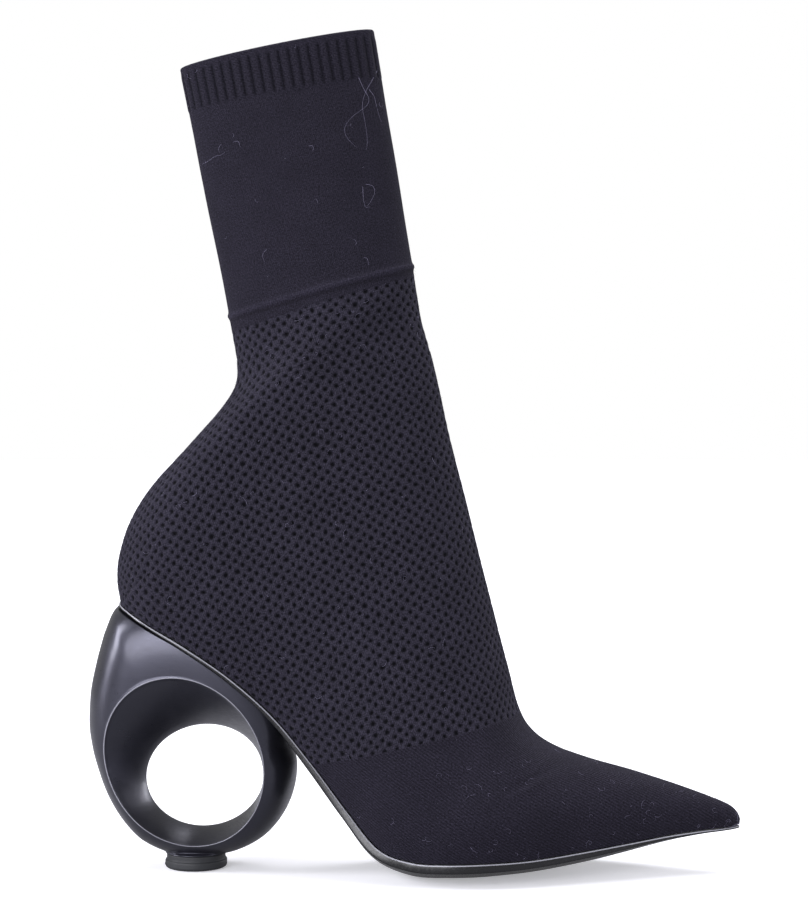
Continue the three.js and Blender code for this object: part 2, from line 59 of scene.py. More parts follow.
sectionRows = np.array([
    [0.884, 0.178, 0, 0.884, 0.178, 0, 0, 0, 0, 0, 0, 0.07, 0.4, 1, 2],
    [0.872, 0.175, 0, 0.884, 0.209, 0, 0.036, 0.036, 0.045, 0.045, 0, 0.07, 0.4, 1, 2],
    [0.852, 0.171, 0, 0.87, 0.248, 0, 0.061, 0.061, 0.072, 0.072, 0, 0.069, 0.4, 1, 2],
    [0.819, 0.167, 0, 0.832, 0.286, 0, 0.1, 0.103, 0.116, 0.119, 0, 0.066, 0.4, 1, 2],
    [0.767, 0.156, 0, 0.778, 0.331, 0, 0.161, 0.167, 0.183, 0.19, 0, 0.058, 0.4, 1, 2],
    [0.703, 0.137, 0, 0.713, 0.377, 0, 0.24, 0.258, 0.269, 0.287, 0, 0.046, 0.4, 1, 2],
    [0.629, 0.116, 0, 0.642, 0.423, 0, 0.331, 0.361, 0.367, 0.396, 0, 0.03, 0.38, 1, 1.95],
    [0.552, 0.099, 0, 0.58, 0.477, 0, 0.43, 0.458, 0.472, 0.497, 0, 0.016, 0.36, 1, 1.85],
    [0.483, 0.093, 0, 0.545, 0.54, 0, 0.489, 0.493, 0.53, 0.533, 0, 0.006, 0.33, 1, 1.75],
    [0.418, 0.09, 0, 0.526, 0.625, 0, 0.503, 0.444, 0.545, 0.5, 0, 0, 0.29, 1, 1.65],
    [0.362, 0.092, 0, 0.511, 0.765, 0, 0.458, 0.361, 0.53, 0.444, 0.05, -0.002, 0.26, 1, 1.6],
    [0.31, 0.13, 0, 0.494, 0.915, 0, 0.389, 0.285, 0.525, 0.43, 0.25, -0.004, 0.27, 1, 1.6],
    [0.259, 0.262, 0, 0.477, 1, 0.032, 0.34, 0.243, 0.51, 0.43, 0.5, -0.004, 0.29, 1, 1.65],
    [0.203, 0.43, 0, 0.459, 1, 0.11, 0.322, 0.247, 0.5, 0.45, 0.75, -0.002, 0.3, 0.95, 1.7],
    [0.142, 0.6, 0, 0.441, 1, 0.186, 0.326, 0.278, 0.495, 0.47, 1, 0, 0.3, 0.85, 1.75],
    [0.073, 0.745, 0, 0.425, 1, 0.252, 0.351, 0.328, 0.495, 0.48, 1, 0, 0.29, 0.75, 1.8],
    [0, 0.861, 0, 0.411, 1, 0.314, 0.361, 0.354, 0.498, 0.49, 1, 0, 0.29, 0.68, 1.85],
    [-0.056, 0.931, 0, 0.4, 1, 0.367, 0.318, 0.315, 0.5, 0.495, 1, 0, 0.3, 0.66, 1.9],
    [-0.093, 0.976, 0, 0.392, 1, 0.405, 0.233, 0.233, 0.5, 0.5, 1, 0, 0.31, 0.64, 1.9],
    [-0.115, 1, 0, 0.387, 1, 0.428, 0.122, 0.122, 0.5, 0.5, 1, 0, 0.31, 0.58, 1.9],
    [-0.1225, 1, 0.004, 0.383, 1, 0.444, 0, 0, 0.5, 0.5, 1, 0, 0.31, 0.5, 1.9],
    [-0.1275, 1, 0.042, 0.377, 1, 0.467, -0.12, -0.12, 0.496, 0.496, 1, 0, 0.315, 0.5, 1.9],
    [-0.124, 1, 0.086, 0.371, 1, 0.489, -0.2, -0.2, 0.486, 0.486, 1, 0, 0.33, 0.5, 1.9],
    [-0.106, 1, 0.144, 0.367, 1, 0.51, -0.2, -0.2, 0.468, 0.468, 1, 0, 0.35, 0.5, 1.9],
    [-0.069, 1, 0.207, 0.364, 1, 0.53, -0.2, -0.2, 0.443, 0.443, 1, 0, 0.38, 0.5, 1.9],
    [-0.012, 1, 0.274, 0.361, 1, 0.548, -0.2, -0.2, 0.412, 0.412, 1, 0, 0.42, 0.5, 1.88],
    [0.04, 1, 0.336, 0.359, 1, 0.562, -0.2, -0.2, 0.38, 0.38, 1, 0, 0.455, 0.5, 1.84],
    [0.066, 1, 0.381, 0.357, 1, 0.577, -0.2, -0.2, 0.354, 0.354, 1, 0, 0.485, 0.5, 1.8],
    [0.069, 1, 0.421, 0.355, 1, 0.592, -0.2, -0.2, 0.336, 0.336, 1, 0, 0.5, 0.5, 1.8],
    [0.062, 1, 0.471, 0.352, 1, 0.611, -0.2, -0.2, 0.32, 0.32, 1, 0, 0.5, 0.5, 1.85],
    [0.05, 1, 0.541, 0.346, 1, 0.652, -0.2, -0.2, 0.3, 0.3, 1, 0, 0.5, 0.5, 1.92],
    [0.032, 1, 0.636, 0.336, 1, 0.718, -0.2, -0.2, 0.277, 0.277, 1, 0, 0.5, 0.5, 2],
    [0.011, 1, 0.744, 0.321, 1, 0.814, -0.2, -0.2, 0.256, 0.256, 1, 0, 0.5, 0.5, 2],
    [-0.008, 1, 0.851, 0.306, 1, 0.908, -0.2, -0.2, 0.239, 0.239, 1, 0, 0.5, 0.5, 2],
    [-0.024, 1, 0.935, 0.292, 1, 1, -0.2, -0.2, 0.226, 0.226, 1, 0, 0.5, 0.5, 2],
])


def smoothRows(rows, place):
    # Cubic through evenly spaced rows: each place blends the two rows round it with their slopes. The back
    # line (first three columns) turns a corner at the end of the seat, so there it doesn't look past it.
    ends = np.vstack([2 * rows[0] - rows[1], rows, 2 * rows[-1] - rows[-2]])
    low = np.clip(np.floor(place).astype(int), 0, len(rows) - 2)
    share = (place - low)[:, None]
    before, start, end, after = (ends[low + k] for k in range(4))
    backLine = np.arange(rows.shape[1])[None, :] < 3
    before = np.where(backLine & (low == last["heelBack"])[:, None], 2 * start - end, before)
    after = np.where(backLine & (low + 1 == last["heelBack"])[:, None], 2 * end - start, after)
    leave, arrive, rise = (end - before) / 2, (after - start) / 2, end - start
    bend = 3 * rise - 2 * leave - arrive
    return start + share * (leave + share * (bend + share * (leave + arrive - 2 * rise)))


def smoothTable(table, place):
    # The same cubic for rows whose first column is an uneven place. Gives the second column.
    at, value = np.asarray(table, float).T
    k = np.clip(np.searchsorted(at, place) - 1, 0, len(at) - 2)
    before, after = np.maximum(k - 1, 0), np.minimum(k + 2, len(at) - 1)
    span = at[k + 1] - at[k]
    leave = (value[k + 1] - value[before]) / (at[k + 1] - at[before]) * span
    arrive = (value[after] - value[k]) / (at[after] - at[k]) * span
    share, rise = (place - at[k]) / span, value[k + 1] - value[k]
    bend = 3 * rise - 2 * leave - arrive
    return value[k] + share * (leave + share * (bend + share * (leave + arrive - 2 * rise)))


def step(low, high, value):
    # 0 below low and 1 above high, with a soft change between.
    share = np.clip((value - low) / (high - low), 0, 1)
    return share * share * (3 - 2 * share)


def unit(vectors):
    # Each vector divided by its own length.
    return vectors / np.maximum(np.linalg.norm(vectors, axis=-1, keepdims=True), 1e-9)


def lastSections(place):
    # Named sizes of the sections at an array of places, each as a column of its own.
    row = dict(zip(sectionColumns, smoothRows(sectionRows, place).T[:, :, None]))
    closed = place[:, None] >= last["heelBack"]
    width = last["ballWidth"] + (last["legWidth"] - last["ballWidth"]) * row["leg"]
    for end in ("back", "front"):
        row[end + "Z"] = row[end + "Low"] * last["heelHeight"] + row[end + "High"] * last["shaftRise"]
        row[end + "X"] = row[end + "X"] * last["footLength"]
    for side in ("Outer", "Inner"):
        row["feather" + side] = np.where(closed, 0, np.maximum(row["feather" + side], 0) * last["ballWidth"])
        row["wide" + side] = row["wide" + side] * width
    row["swing"] = row["swing"] * last["ballWidth"]
    row["tuck"] = np.where(closed, 0.5, row["tuck"])
    return row


def lastPoints(place, turn, side):
    # Last surface over places by turns. Turn -1 is the feather edge, 0 the widest line, 1 the front line.
    # Below the widest line the half width grows with a sine of the climb, above it closes as a rounded arch.
    row = lastSections(place)
    angle = np.abs(turn)[None, :] * np.pi / 2
    climb = np.pi / 2 - angle
    name = "Outer" if side < 0 else "Inner"
    feather, wide, level = row["feather" + name], row["wide" + name], row["level"]
    lowShare = level * (1 - np.cos(climb))
    lowHalf = feather + (wide - feather) * np.maximum(np.sin(climb), 0) ** (2 * row["tuck"])
    highShare = level + (1 - level) * np.sin(angle)
    highHalf = wide * np.sqrt(np.maximum(0, 1 - np.sin(angle) ** row["shoulder"]))
    low = turn[None, :] < 0
    share, half = np.where(low, lowShare, highShare), np.where(low, lowHalf, highHalf)
    x = row["backX"] + (row["frontX"] - row["backX"]) * share
    z = row["backZ"] + (row["frontZ"] - row["backZ"]) * share
    return np.stack([x, row["swing"] + side * half, z], -1)


def evenTurns(place, count):
    # Turns that lie evenly along the outer side's girth at one place, with the widest line among them.
    fine = np.linspace(-1, 1, 2001)
    points = lastPoints(np.array([float(place)]), fine, -1)[0]
    length = np.concatenate([[0], np.cumsum(np.linalg.norm(np.diff(points, axis=0), axis=1))])
    turn = np.interp(np.linspace(0, length[-1], count + 1), length, fine)
    turn[np.argmin(np.abs(turn))] = 0
    return turn


def clothSide(points, middle):
    # Knit of one side laid flat. At the widest line it lies as seen from the side, and towards the front and
    # the back each step along a row keeps its length across the nearer edge line.
    chord = (points[:, -1] - points[:, 0])[:, [0, 2]]
    flat = np.zeros((len(points), points.shape[1] - 1, 2))
    for edge, part in ((0, slice(0, middle)), (-1, slice(middle, None))):
        line = unit(np.gradient(points[:, edge], axis=0)[:, [0, 2]])
        normal = np.stack([-line[:, 1], line[:, 0]], -1)
        normal *= np.where((normal * chord).sum(-1, keepdims=True) < 0, -1, 1)
        move = np.diff(points, axis=1)[:, part]
        along = (move[..., [0, 2]] * line[:, None]).sum(-1)
        across = np.sqrt(np.maximum((move ** 2).sum(-1) - along ** 2, 0))
        flat[:, part] = along[..., None] * line[:, None] + across[..., None] * normal[:, None]
    cloth = np.zeros(points.shape[:2] + (2,))
    cloth[:, 1:] = np.cumsum(flat, axis=1)
    return cloth + (points[:, middle][:, [0, 2]] - cloth[:, middle])[:, None]


def upperGrid(place, turn):
    # Grid over the whole girth: outer feather, front line, inner feather. Gives points, outward normals and
    # the flat knit place of each. A row more at each end keeps the normals true at the edges.
    middle = int(np.argmin(np.abs(turn)))
    wider = np.concatenate([[2 * place[0] - place[1]], place, [2 * place[-1] - place[-2]]])
    wider = np.maximum(wider, 0)
    outer, inner = (lastPoints(wider, turn, side) for side in (-1, 1))
    clothOuter, clothInner = clothSide(outer, middle), clothSide(inner, middle)
    clothInner += (clothOuter[:, -1] - clothInner[:, -1])[:, None]
    points = np.concatenate([outer, inner[:, -2::-1]], axis=1)
    cloth = np.concatenate([clothOuter, clothInner[:, -2::-1]], axis=1)
    across = np.gradient(points, axis=1)
    seam = points[:, 1] - points[:, -2]
    closed = (wider >= last["heelBack"] - 1e-6)[:, None]
    across[:, 0] = np.where(closed, seam, across[:, 0])
    across[:, -1] = np.where(closed, seam, across[:, -1])
    normals = unit(np.cross(across, np.gradient(points, axis=0)))
    return points[1:-1], normals[1:-1], cloth[1:-1]


def gridQuads(rows, columns):
    # Corners of each cell of a grid: one step along the columns, then one along the rows.
    a = (np.arange(rows - 1)[:, None] * columns + np.arange(columns - 1)[None, :]).ravel()
    return np.stack([a, a + 1, a + columns + 1, a + columns], -1)


def gridNormals(points, roundColumns=False):
    # Square to both directions of a grid. With round columns the first and the last one are the same.
    across = np.gradient(points, axis=1)
    if roundColumns:
        across[:, 0] = across[:, -1] = points[:, 1] - points[:, -2]
    return unit(np.cross(across, np.gradient(points, axis=0)))


def makePiece(name, points, quads, material, maps=None, normals=None, flip=False):
    # Mesh of quads from millimetre points. Points at one place are joined and empty corners dropped.
    points = np.asarray(points, float).reshape(-1, 3)
    if flip:
        quads = quads[:, ::-1]
    cells = np.round(points * 500).astype(np.int64)
    _, first, joined = np.unique(cells, axis=0, return_index=True, return_inverse=True)
    faces = joined.reshape(-1)[quads]
    keep = faces != np.roll(faces, -1, axis=1)
    whole, three = keep.sum(1) == 4, keep.sum(1) == 3
    triangles, corners = faces[three][keep[three]].reshape(-1, 3), quads[three][keep[three]].reshape(-1, 3)
    mesh = bpy.data.meshes.new(name)
    mesh.from_pydata(
        (points[first] / 1000).tolist(), [], faces[whole].tolist() + triangles.tolist(), shade_flat=False)
    loops = np.concatenate([quads[whole].ravel(), corners.ravel()])
    for key, values in (maps or {}).items():
        layer = mesh.uv_layers.new(name=key)
        layer.uv.foreach_set("vector", values.reshape(-1, 2)[loops].astype(np.float32).ravel())
    if normals is not None:
        mesh.normals_split_custom_set_from_vertices(normals.reshape(-1, 3)[first].tolist())
    mesh.materials.append(material)
    piece = bpy.data.objects.new(name, mesh)
    bpy.context.scene.collection.objects.link(piece)
    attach(piece, "root")
    print(name, len(faces[whole]) * 2 + len(triangles), "triangles")
    return piece


def linear(code):
    # sRGB hex colour to the linear numbers that a shader takes.
    value = np.array([int(code[k:k + 2], 16) / 255 for k in (1, 3, 5)])
    value = np.where(value <= 0.04045, value / 12.92, ((value + 0.055) / 1.055) ** 2.4)
    return (*value.tolist(), 1.0)


def addNode(tree, kind, *inputs, **settings):
    # A node with its settings. Inputs fill its open sockets in turn: None, a value, a socket or another node.
    node = tree.nodes.new("ShaderNode" + kind)
    for key, value in settings.items():
        setattr(node, key, value)
    for socket, value in zip([socket for socket in node.inputs if socket.enabled], inputs):
        if isinstance(value, bpy.types.Node):
            value = next(output for output in value.outputs if output.enabled)
        if isinstance(value, bpy.types.NodeSocket):
            tree.links.new(value, socket)
        elif value is not None:
            socket.default_value = value
    return node


def newMaterial(name, color, roughness, **sockets):
    # Material with one Principled shader. Sockets are given by their names with the spaces left out.
    material = bpy.data.materials.new(name)
    material.use_nodes = True
    tree = material.node_tree
    shader = tree.nodes["Principled BSDF"]
    shader.inputs["Base Color"].default_value = linear(color)
    shader.inputs["Roughness"].default_value = roughness
    for socket in shader.inputs:
        if socket.name.replace(" ", "") in sockets:
            socket.default_value = sockets[socket.name.replace(" ", "")]
    return material, tree, shader


def addRelief(tree, shader, height, strength=0.85, scale=0.001):
    # Bump from a height, in metres times scale.
    bump = addNode(tree, "Bump", strength, scale)
    tree.links.new(height.outputs[0], bump.inputs["Height"])
    tree.links.new(bump.outputs[0], shader.inputs["Normal"])


def addPaintedEdgeHighlight(tree, shader, color, edgeColor):
    # Mixes the colour towards a pale painted highlight where the edges map says so.
    edges = addNode(tree, "SeparateXYZ", addNode(tree, "UVMap", uv_map="edges"))
    mixed = addNode(tree, "Mix", edges.outputs[0], linear(color), linear(edgeColor), data_type="RGBA")
    tree.links.new(mixed.outputs[2], shader.inputs["Base Color"])


# Stretch knit, polyester and elastane, machine knitted: matte, with a soft fibre sheen towards its edges.
knit = {
    "yarn": "#1f1d26",
    "meshYarn": "#282630",
    # holes: the dark lining seen through them, made darker with painted shade
    "hole": "#06060a",
    "course": (4.46, 1.13),  # one mesh cell along a course, forwards and up
    "wale": (0.78, -4.16),  # one mesh cell down a wale
    "holeSize": 2.0,
    "holeDepth": 0.5,
    "wobble": 0.032,
    "stitch": 1.05,  # drawn coarser than the real 0.7 so that it shows
    "twill": 1.05,
    "ridgeBack": (13.6, 208.6),
    "ridgeFront": (84, 227.6),
    "ridgeHeight": 0.6,
    "ridgeWidth": 1.1,
    # painted highlight along the ridge and painted shadow just below it, as factors on the colour
    "ridgeLight": 1.45,
    "underRidge": 0.72,
    "bandBack": 6.4,
    "bandFront": 4.2,
    "meshEndLow": (49.5, 43.0),
    "meshEndHigh": (123, 60.5),
    "wave": 0.12,
    "stitchRelief": 0.1,
    "grainRelief": 0.28,
    "holeRelief": -0.25,
    "stitchShade": (0.72, 1.22),
    "grainShade": (0.4, 1.7),
    "patchShade": (0.93, 1.08),
}


def lineAcross(points, start, end):
    # Signed distance in side view from the line through start and end, positive above it.
    (x0, z0), (x1, z1) = start, end
    length = np.hypot(x1 - x0, z1 - z0)
    return ((points[..., 2] - z0) * (x1 - x0) - (points[..., 0] - x0) * (z1 - z0)) / length


def clothMaps(points, cloth):
    # Lattice counts mesh cells along courses and wales, with a slow wobble of sines. Bands holds the distance
    # into the mesh zone from its upper and its lower end, and marks the height above the ridge's line.
    cell = np.linalg.inv(np.array([knit["course"], knit["wale"]]).T)
    back, front = knit["ridgeBack"], knit["ridgeFront"]
    share = np.clip((points[..., 0] - back[0]) / (front[0] - back[0]), 0, 1)
    band = knit["bandBack"] + (knit["bandFront"] - knit["bandBack"]) * share
    ridge = lineAcross(points, back, front)
    upperEnd = -ridge - band
    lowerEnd = lineAcross(points, knit["meshEndLow"], knit["meshEndHigh"])
    u, v = cloth[..., 0], cloth[..., 1]
    wobble = np.stack([np.sin(1.31 * u + 0.4 * v) + np.sin(0.37 * v - 0.83 * u),
                       np.sin(1.13 * v - 0.5 * u) + np.sin(0.41 * u + 0.71 * v)], -1)
    return {"lattice": cloth @ cell.T + knit["wobble"] * wobble, "cloth": cloth,
            "bands": np.stack([upperEnd, lowerEnd], -1), "marks": np.stack([ridge, 0 * ridge], -1)}


def holeDepth(maps):
    # How deep the knit sinks at each point: a soft step down towards the nearest hole's middle, in the mesh
    # zone only. A hole sits at each cell's corner and middle.
    size = np.array([np.hypot(*knit["course"]), np.hypot(*knit["wale"])])
    cells = [(maps["lattice"] + offset) % 1 - 0.5 for offset in (0, 0.5)]
    nearest = np.minimum(*(np.linalg.norm(cell * size, axis=-1) for cell in cells))
    zone = step(-0.2, 0.3, maps["bands"][..., 0]) * step(-0.2, 0.3, maps["bands"][..., 1])
    radius = knit["holeSize"] / 2
    return knit["holeDepth"] * zone * (1 - step(radius * 0.2, radius * 1.5, nearest))


def knitMaterial():
    # Knit that shows its holes where the bands say mesh, stitches on the leg and a fine twill on the foot.
    # The rough yarn gives no gloss, only a grain of lit and shaded fibres.
    material, tree, shader = newMaterial(
        "stretchKnit", knit["yarn"], 0.95, SheenWeight=0.07, SheenRoughness=0.3, SheenTint=linear("#b9b4c8"),
        SpecularIORLevel=0.1)
    lattice = addNode(tree, "UVMap", uv_map="lattice")
    cloth = addNode(tree, "UVMap", uv_map="cloth")
    bands = addNode(tree, "SeparateXYZ", addNode(tree, "UVMap", uv_map="bands"))
    # distance to the nearest hole, which sits at each cell's corner and middle
    cellSize = (float(np.hypot(*knit["course"])), float(np.hypot(*knit["wale"])), 0)
    distances = []
    for offset in (0.0, 0.5):
        cell = addNode(tree, "VectorMath", lattice, (offset, offset, 0), operation="ADD")
        cell = addNode(tree, "VectorMath", cell, operation="FRACTION")
        cell = addNode(tree, "VectorMath", cell, (0.5, 0.5, 0), operation="SUBTRACT")
        cell = addNode(tree, "VectorMath", cell, cellSize, operation="MULTIPLY")
        distances.append(addNode(tree, "VectorMath", cell, operation="LENGTH"))
    nearest = addNode(tree, "Math", *distances, operation="MINIMUM")
    radius = knit["holeSize"] / 2
    dot = addNode(
        tree, "MapRange", nearest, radius * 0.25, radius * 1.35, 1.0, 0.0, interpolation_type="SMOOTHSTEP")
    upperEnd = addNode(tree, "MapRange", bands.outputs[0], -0.2, 0.3)
    lowerEnd = addNode(tree, "MapRange", bands.outputs[1], -0.2, 0.3)
    meshZone = addNode(tree, "Math", upperEnd, lowerEnd, operation="MULTIPLY")
    hole = addNode(tree, "Math", dot, meshZone, operation="MULTIPLY")
    # stitches are two crossing waves, and the foot's twill is one that runs down towards the toe
    pitch, twillPitch = 2 * np.pi / knit["stitch"], 2 * np.pi / knit["twill"]
    rising = addNode(tree, "VectorMath", cloth, (pitch * 0.9, pitch * 0.62, 0), operation="DOT_PRODUCT")
    falling = addNode(tree, "VectorMath", cloth, (-pitch * 0.5, pitch * 1.1, 0), operation="DOT_PRODUCT")
    stitch = addNode(tree, "Math", addNode(tree, "Math", rising, operation="SINE"),
                     addNode(tree, "Math", falling, operation="SINE"), operation="MULTIPLY")
    slant = (twillPitch * 0.55, twillPitch * 0.83, 0)
    twill = addNode(tree, "VectorMath", cloth, slant, operation="DOT_PRODUCT")
    twill = addNode(tree, "Math", twill, operation="SINE")
    weave = addNode(tree, "Mix", lowerEnd, twill, stitch)
    grain = addNode(tree, "TexNoise", cloth, 1.5, 3.0, 0.75, noise_dimensions="2D")
    # the ridge's line gets a painted highlight, and a band just below it a painted shadow
    marks = addNode(tree, "SeparateXYZ", addNode(tree, "UVMap", uv_map="marks"))
    ridgeHighlight = addNode(tree, "Math", marks.outputs[0], operation="ABSOLUTE")
    ridgeHighlight = addNode(
        tree, "MapRange", ridgeHighlight, 0.2, 1.5, knit["ridgeLight"], 1.0, interpolation_type="SMOOTHSTEP")
    under = addNode(tree, "Math", marks.outputs[0], 2.1, operation="ADD")
    under = addNode(tree, "Math", under, operation="ABSOLUTE")
    under = addNode(tree, "MapRange", under, 0.1, 1.2, knit["underRidge"], 1.0)
    ridgePaintedShade = addNode(tree, "Math", ridgeHighlight, under, operation="MULTIPLY")
    patches = addNode(tree, "TexNoise", cloth, 0.07, 3.0, 0.6, noise_dimensions="2D")
    # height of the cloth in millimetres
    height = addNode(tree, "Math", weave, knit["stitchRelief"], operation="MULTIPLY")
    height = addNode(tree, "Math", grain, knit["grainRelief"], height, operation="MULTIPLY_ADD")
    height = addNode(tree, "Math", hole, knit["holeRelief"], height, operation="MULTIPLY_ADD")
    addRelief(tree, shader, height)
    # mesh yarn is a shade lighter, stitches, grain and the ridge's painted highlight and shadow shade it, and
    # the holes are nearly black: the dark lining behind, deepened with painted shade
    base = addNode(tree, "Mix", meshZone, linear(knit["yarn"]), linear(knit["meshYarn"]), data_type="RGBA")
    shade = addNode(tree, "Math", addNode(tree, "MapRange", weave, -1.0, 1.0, *knit["stitchShade"]),
                    addNode(tree, "MapRange", grain, 0.3, 0.7, *knit["grainShade"]), operation="MULTIPLY")
    shade = addNode(tree, "Math", shade, ridgePaintedShade, operation="MULTIPLY")
    patches = addNode(tree, "MapRange", patches, 0.3, 0.7, *knit["patchShade"])
    shade = addNode(tree, "Math", shade, patches, operation="MULTIPLY")
    tinted = addNode(tree, "VectorMath", base, shade, operation="SCALE")
    # the holes take a near black of painted shade
    color = addNode(tree, "Mix", hole, tinted, linear(knit["hole"]), data_type="RGBA")
    tree.links.new(color.outputs[2], shader.inputs["Base Color"])
    return material


knitCloth = knitMaterial()

# Upper, from the toe to the cuff. Each part is a run of the same surface: places, rows and columns a side.
upperParts = {
    "toe": (0, 4.2, 110, 90),
    "forefoot": (4.2, 9.4, 130, 150),
    "meshPart": (9.4, 28.2, 440, 224),
    "leg": (28.2, 33.04, 130, 110),
}
creases = [
    # start and end in side view, depth, width
    ((138.9, 43.6), (119.5, 35.2), 0.5, 1.6),
    ((134.5, 39.0), (121.0, 33.6), -0.25, 1.4),
]


def clothHeight(points):
    # How far the knit stands off the last's surface: the ridge and the creases are bell curves of the
    # distance from their lines, and a slow wave is the product of two sines.
    ridge = lineAcross(points, knit["ridgeBack"], knit["ridgeFront"])
    height = knit["ridgeHeight"] * np.exp(-(ridge / knit["ridgeWidth"]) ** 2)
    for start, end, depth, width in creases:
        start, end = np.array(start), np.array(end)
        offset = points[..., [0, 2]] - start
        share = np.clip((offset @ (end - start)) / ((end - start) @ (end - start)), 0, 1)
        away = np.linalg.norm(offset - share[..., None] * (end - start), axis=-1)
        height = height - depth * np.exp(-(away / width) ** 2) * np.sin(np.pi * np.clip(share, 0.12, 0.88))
    x, z = points[..., 0], points[..., 2]
    wave = np.sin(x / 9.7 + z / 13.1) * np.sin(z / 11.3 - x / 17.9)
    return height + knit["wave"] * wave


def makeUpperParts():
    # Each part is the last's surface moved along its normals, out by the cloth's height and in by the holes'
    # depth. Its edges keep the smooth normals, so that the parts shade as one. The mesh part is two halves
    # that meet on the front line.
    for name, (start, end, rows, columns) in upperParts.items():
        place = np.linspace(start, end, rows + 1)
        turn = evenTurns(max((start + end) / 2, 1), columns)
        points, normals, cloth = upperGrid(place, turn)
        points = points + normals * clothHeight(points)[..., None]
        maps = clothMaps(points, cloth)
        points = points - normals * holeDepth(maps)[..., None]
        bent = gridNormals(points)
        bent = np.where((bent * normals).sum(-1, keepdims=True) < 0.5, normals, bent)
        bent[[0, -1]] = normals[[0, -1]]
        bent[:, [0, -1]] = normals[:, [0, -1]]
        sides = [("", slice(None))]
        if name == "meshPart":
            sides = [("Outer", slice(0, columns + 1)), ("Inner", slice(columns, None))]
        for side, part in sides:
            grid = points[:, part]
            piece = makePiece(
                name + side, grid, gridQuads(*grid.shape[:2]), knitCloth,
                {key: value[:, part] for key, value in maps.items()}, bent[:, part])
            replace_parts(piece, "upper")


makeUpperParts()

# Rib cuff, one by one rib, folded over the collar's edge.
cuff = {
    "ribs": 46,
    "depth": 0.52,
    "roundness": 0.85,
    "start": 33.04,
    "end": 33.954,
    "length": 17.9,
    "ribsBegin": (0, 1.6),
    "ribsFlatten": (14.2, 17),
    "grooveFrom": 0.8,
    "grooveTo": 16.2,
    "stitch": 0.95,
    "rows": 52,
    "stepsInRib": 12,
    "foldRows": 10,
    "groove": "#111017",
}


def ribMaterial():
    # Same yarn as the knit. The grooves between the ribs are darker, because little light gets into them.
    material, tree, shader = newMaterial(
        "ribKnit", knit["yarn"], 0.95, SheenWeight=0.15, SheenRoughness=0.3, SheenTint=linear("#b9b4c8"),
        SpecularIORLevel=0.1)
    cloth = addNode(tree, "UVMap", uv_map="cloth")
    ribs = addNode(tree, "SeparateXYZ", addNode(tree, "UVMap", uv_map="ribs"))
    phase = addNode(tree, "Math", ribs.outputs[0], operation="FRACT")
    crown = addNode(tree, "Math", addNode(tree, "Math", phase, np.pi, operation="MULTIPLY"), operation="SINE")
    openness = addNode(tree, "MapRange", crown, 0.1, 0.85, 0.0, 1.0)
    ribZone = addNode(tree, "MapRange", ribs.outputs[1], -0.6, 0.9)
    weight = addNode(tree, "Mix", ribZone, 1.0, openness)
    pitch = 2 * np.pi / cuff["stitch"]
    stitch = addNode(tree, "VectorMath", cloth, (pitch * 0.3, pitch, 0), operation="DOT_PRODUCT")
    stitch = addNode(tree, "Math", stitch, operation="SINE")
    grain = addNode(tree, "TexNoise", cloth, 1.6, 3.0, 0.7, noise_dimensions="2D")
    height = addNode(tree, "Math", stitch, 0.05, operation="MULTIPLY")
    height = addNode(tree, "Math", grain, knit["grainRelief"], height, operation="MULTIPLY_ADD")
    addRelief(tree, shader, height)
    shade = addNode(tree, "Math", addNode(tree, "MapRange", stitch, -1.0, 1.0, 0.86, 1.1),
                    addNode(tree, "MapRange", grain, 0.3, 0.7, 0.45, 1.65), operation="MULTIPLY")
    base = addNode(tree, "Mix", weight, linear(cuff["groove"]), linear(knit["yarn"]), data_type="RGBA")
    tinted = addNode(tree, "VectorMath", base, shade, operation="SCALE")
    tree.links.new(tinted.outputs[0], shader.inputs["Base Color"])
    return material


def makeCuff():
    # The ribs stand off the leg by a power of a sine round the girth. Past the edge the wall turns over in a
    # half circle whose width is the wall's.
    columns = cuff["ribs"] * cuff["stepsInRib"] // 2
    place = np.linspace(cuff["start"], cuff["end"], cuff["rows"] + 1)
    points, normals, cloth = upperGrid(place, evenTurns(33.5, columns))
    count = np.linspace(0, cuff["ribs"], points.shape[1])[None, :].repeat(len(place), 0)
    crown = np.abs(np.sin(np.pi * count)) ** cuff["roundness"]
    fromEnd = np.linspace(0, 1, len(place))[:, None] * cuff["length"]
    ribbed = step(*cuff["ribsBegin"], fromEnd) * (1 - 0.75 * step(*cuff["ribsFlatten"], fromEnd))
    height = cuff["depth"] * (crown - 0.45) * ribbed
    body = points + normals * height[..., None]
    rise = unit(points[-1] - points[-2])
    angle = np.linspace(0, np.pi, cuff["foldRows"] + 1)[1:, None, None]
    radius = last["wall"] / 2
    out = radius * (np.cos(angle) - 1) + height[-1][None, :, None] * (1 + np.cos(angle)) / 2
    fold = points[-1] + normals[-1] * out + rise * radius * np.sin(angle)
    grid = np.concatenate([body, fold])
    past = np.arange(1, cuff["foldRows"] + 1)[:, None, None] * 0.28 * np.array([0, 1.0])
    flat = np.concatenate([cloth, cloth[-1] + past])
    count = np.concatenate([count, count[-1:].repeat(cuff["foldRows"], 0)])
    zone = np.minimum(fromEnd - cuff["grooveFrom"], cuff["grooveTo"] - fromEnd).repeat(points.shape[1], 1)
    zone = np.concatenate([zone, np.full((cuff["foldRows"], points.shape[1]), -1.0)])
    piece = makePiece(
        "cuff", grid, gridQuads(*grid.shape[:2]), ribMaterial(),
        {"cloth": flat, "ribs": np.stack([count, zone], -1)}, gridNormals(grid, True))
    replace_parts(piece, "upper")
    return grid[-1]


foldEdge = makeCuff()

# Lining, a warp knitted tricot bonded inside the knit, with the stiff toe puff at its end. Its fine even face
# looks plain and a little smoother than the knit.
liningCloth, _, _ = newMaterial("tricotLining", "#17161c", 0.85, SheenWeight=0.15, SpecularIORLevel=0.3)


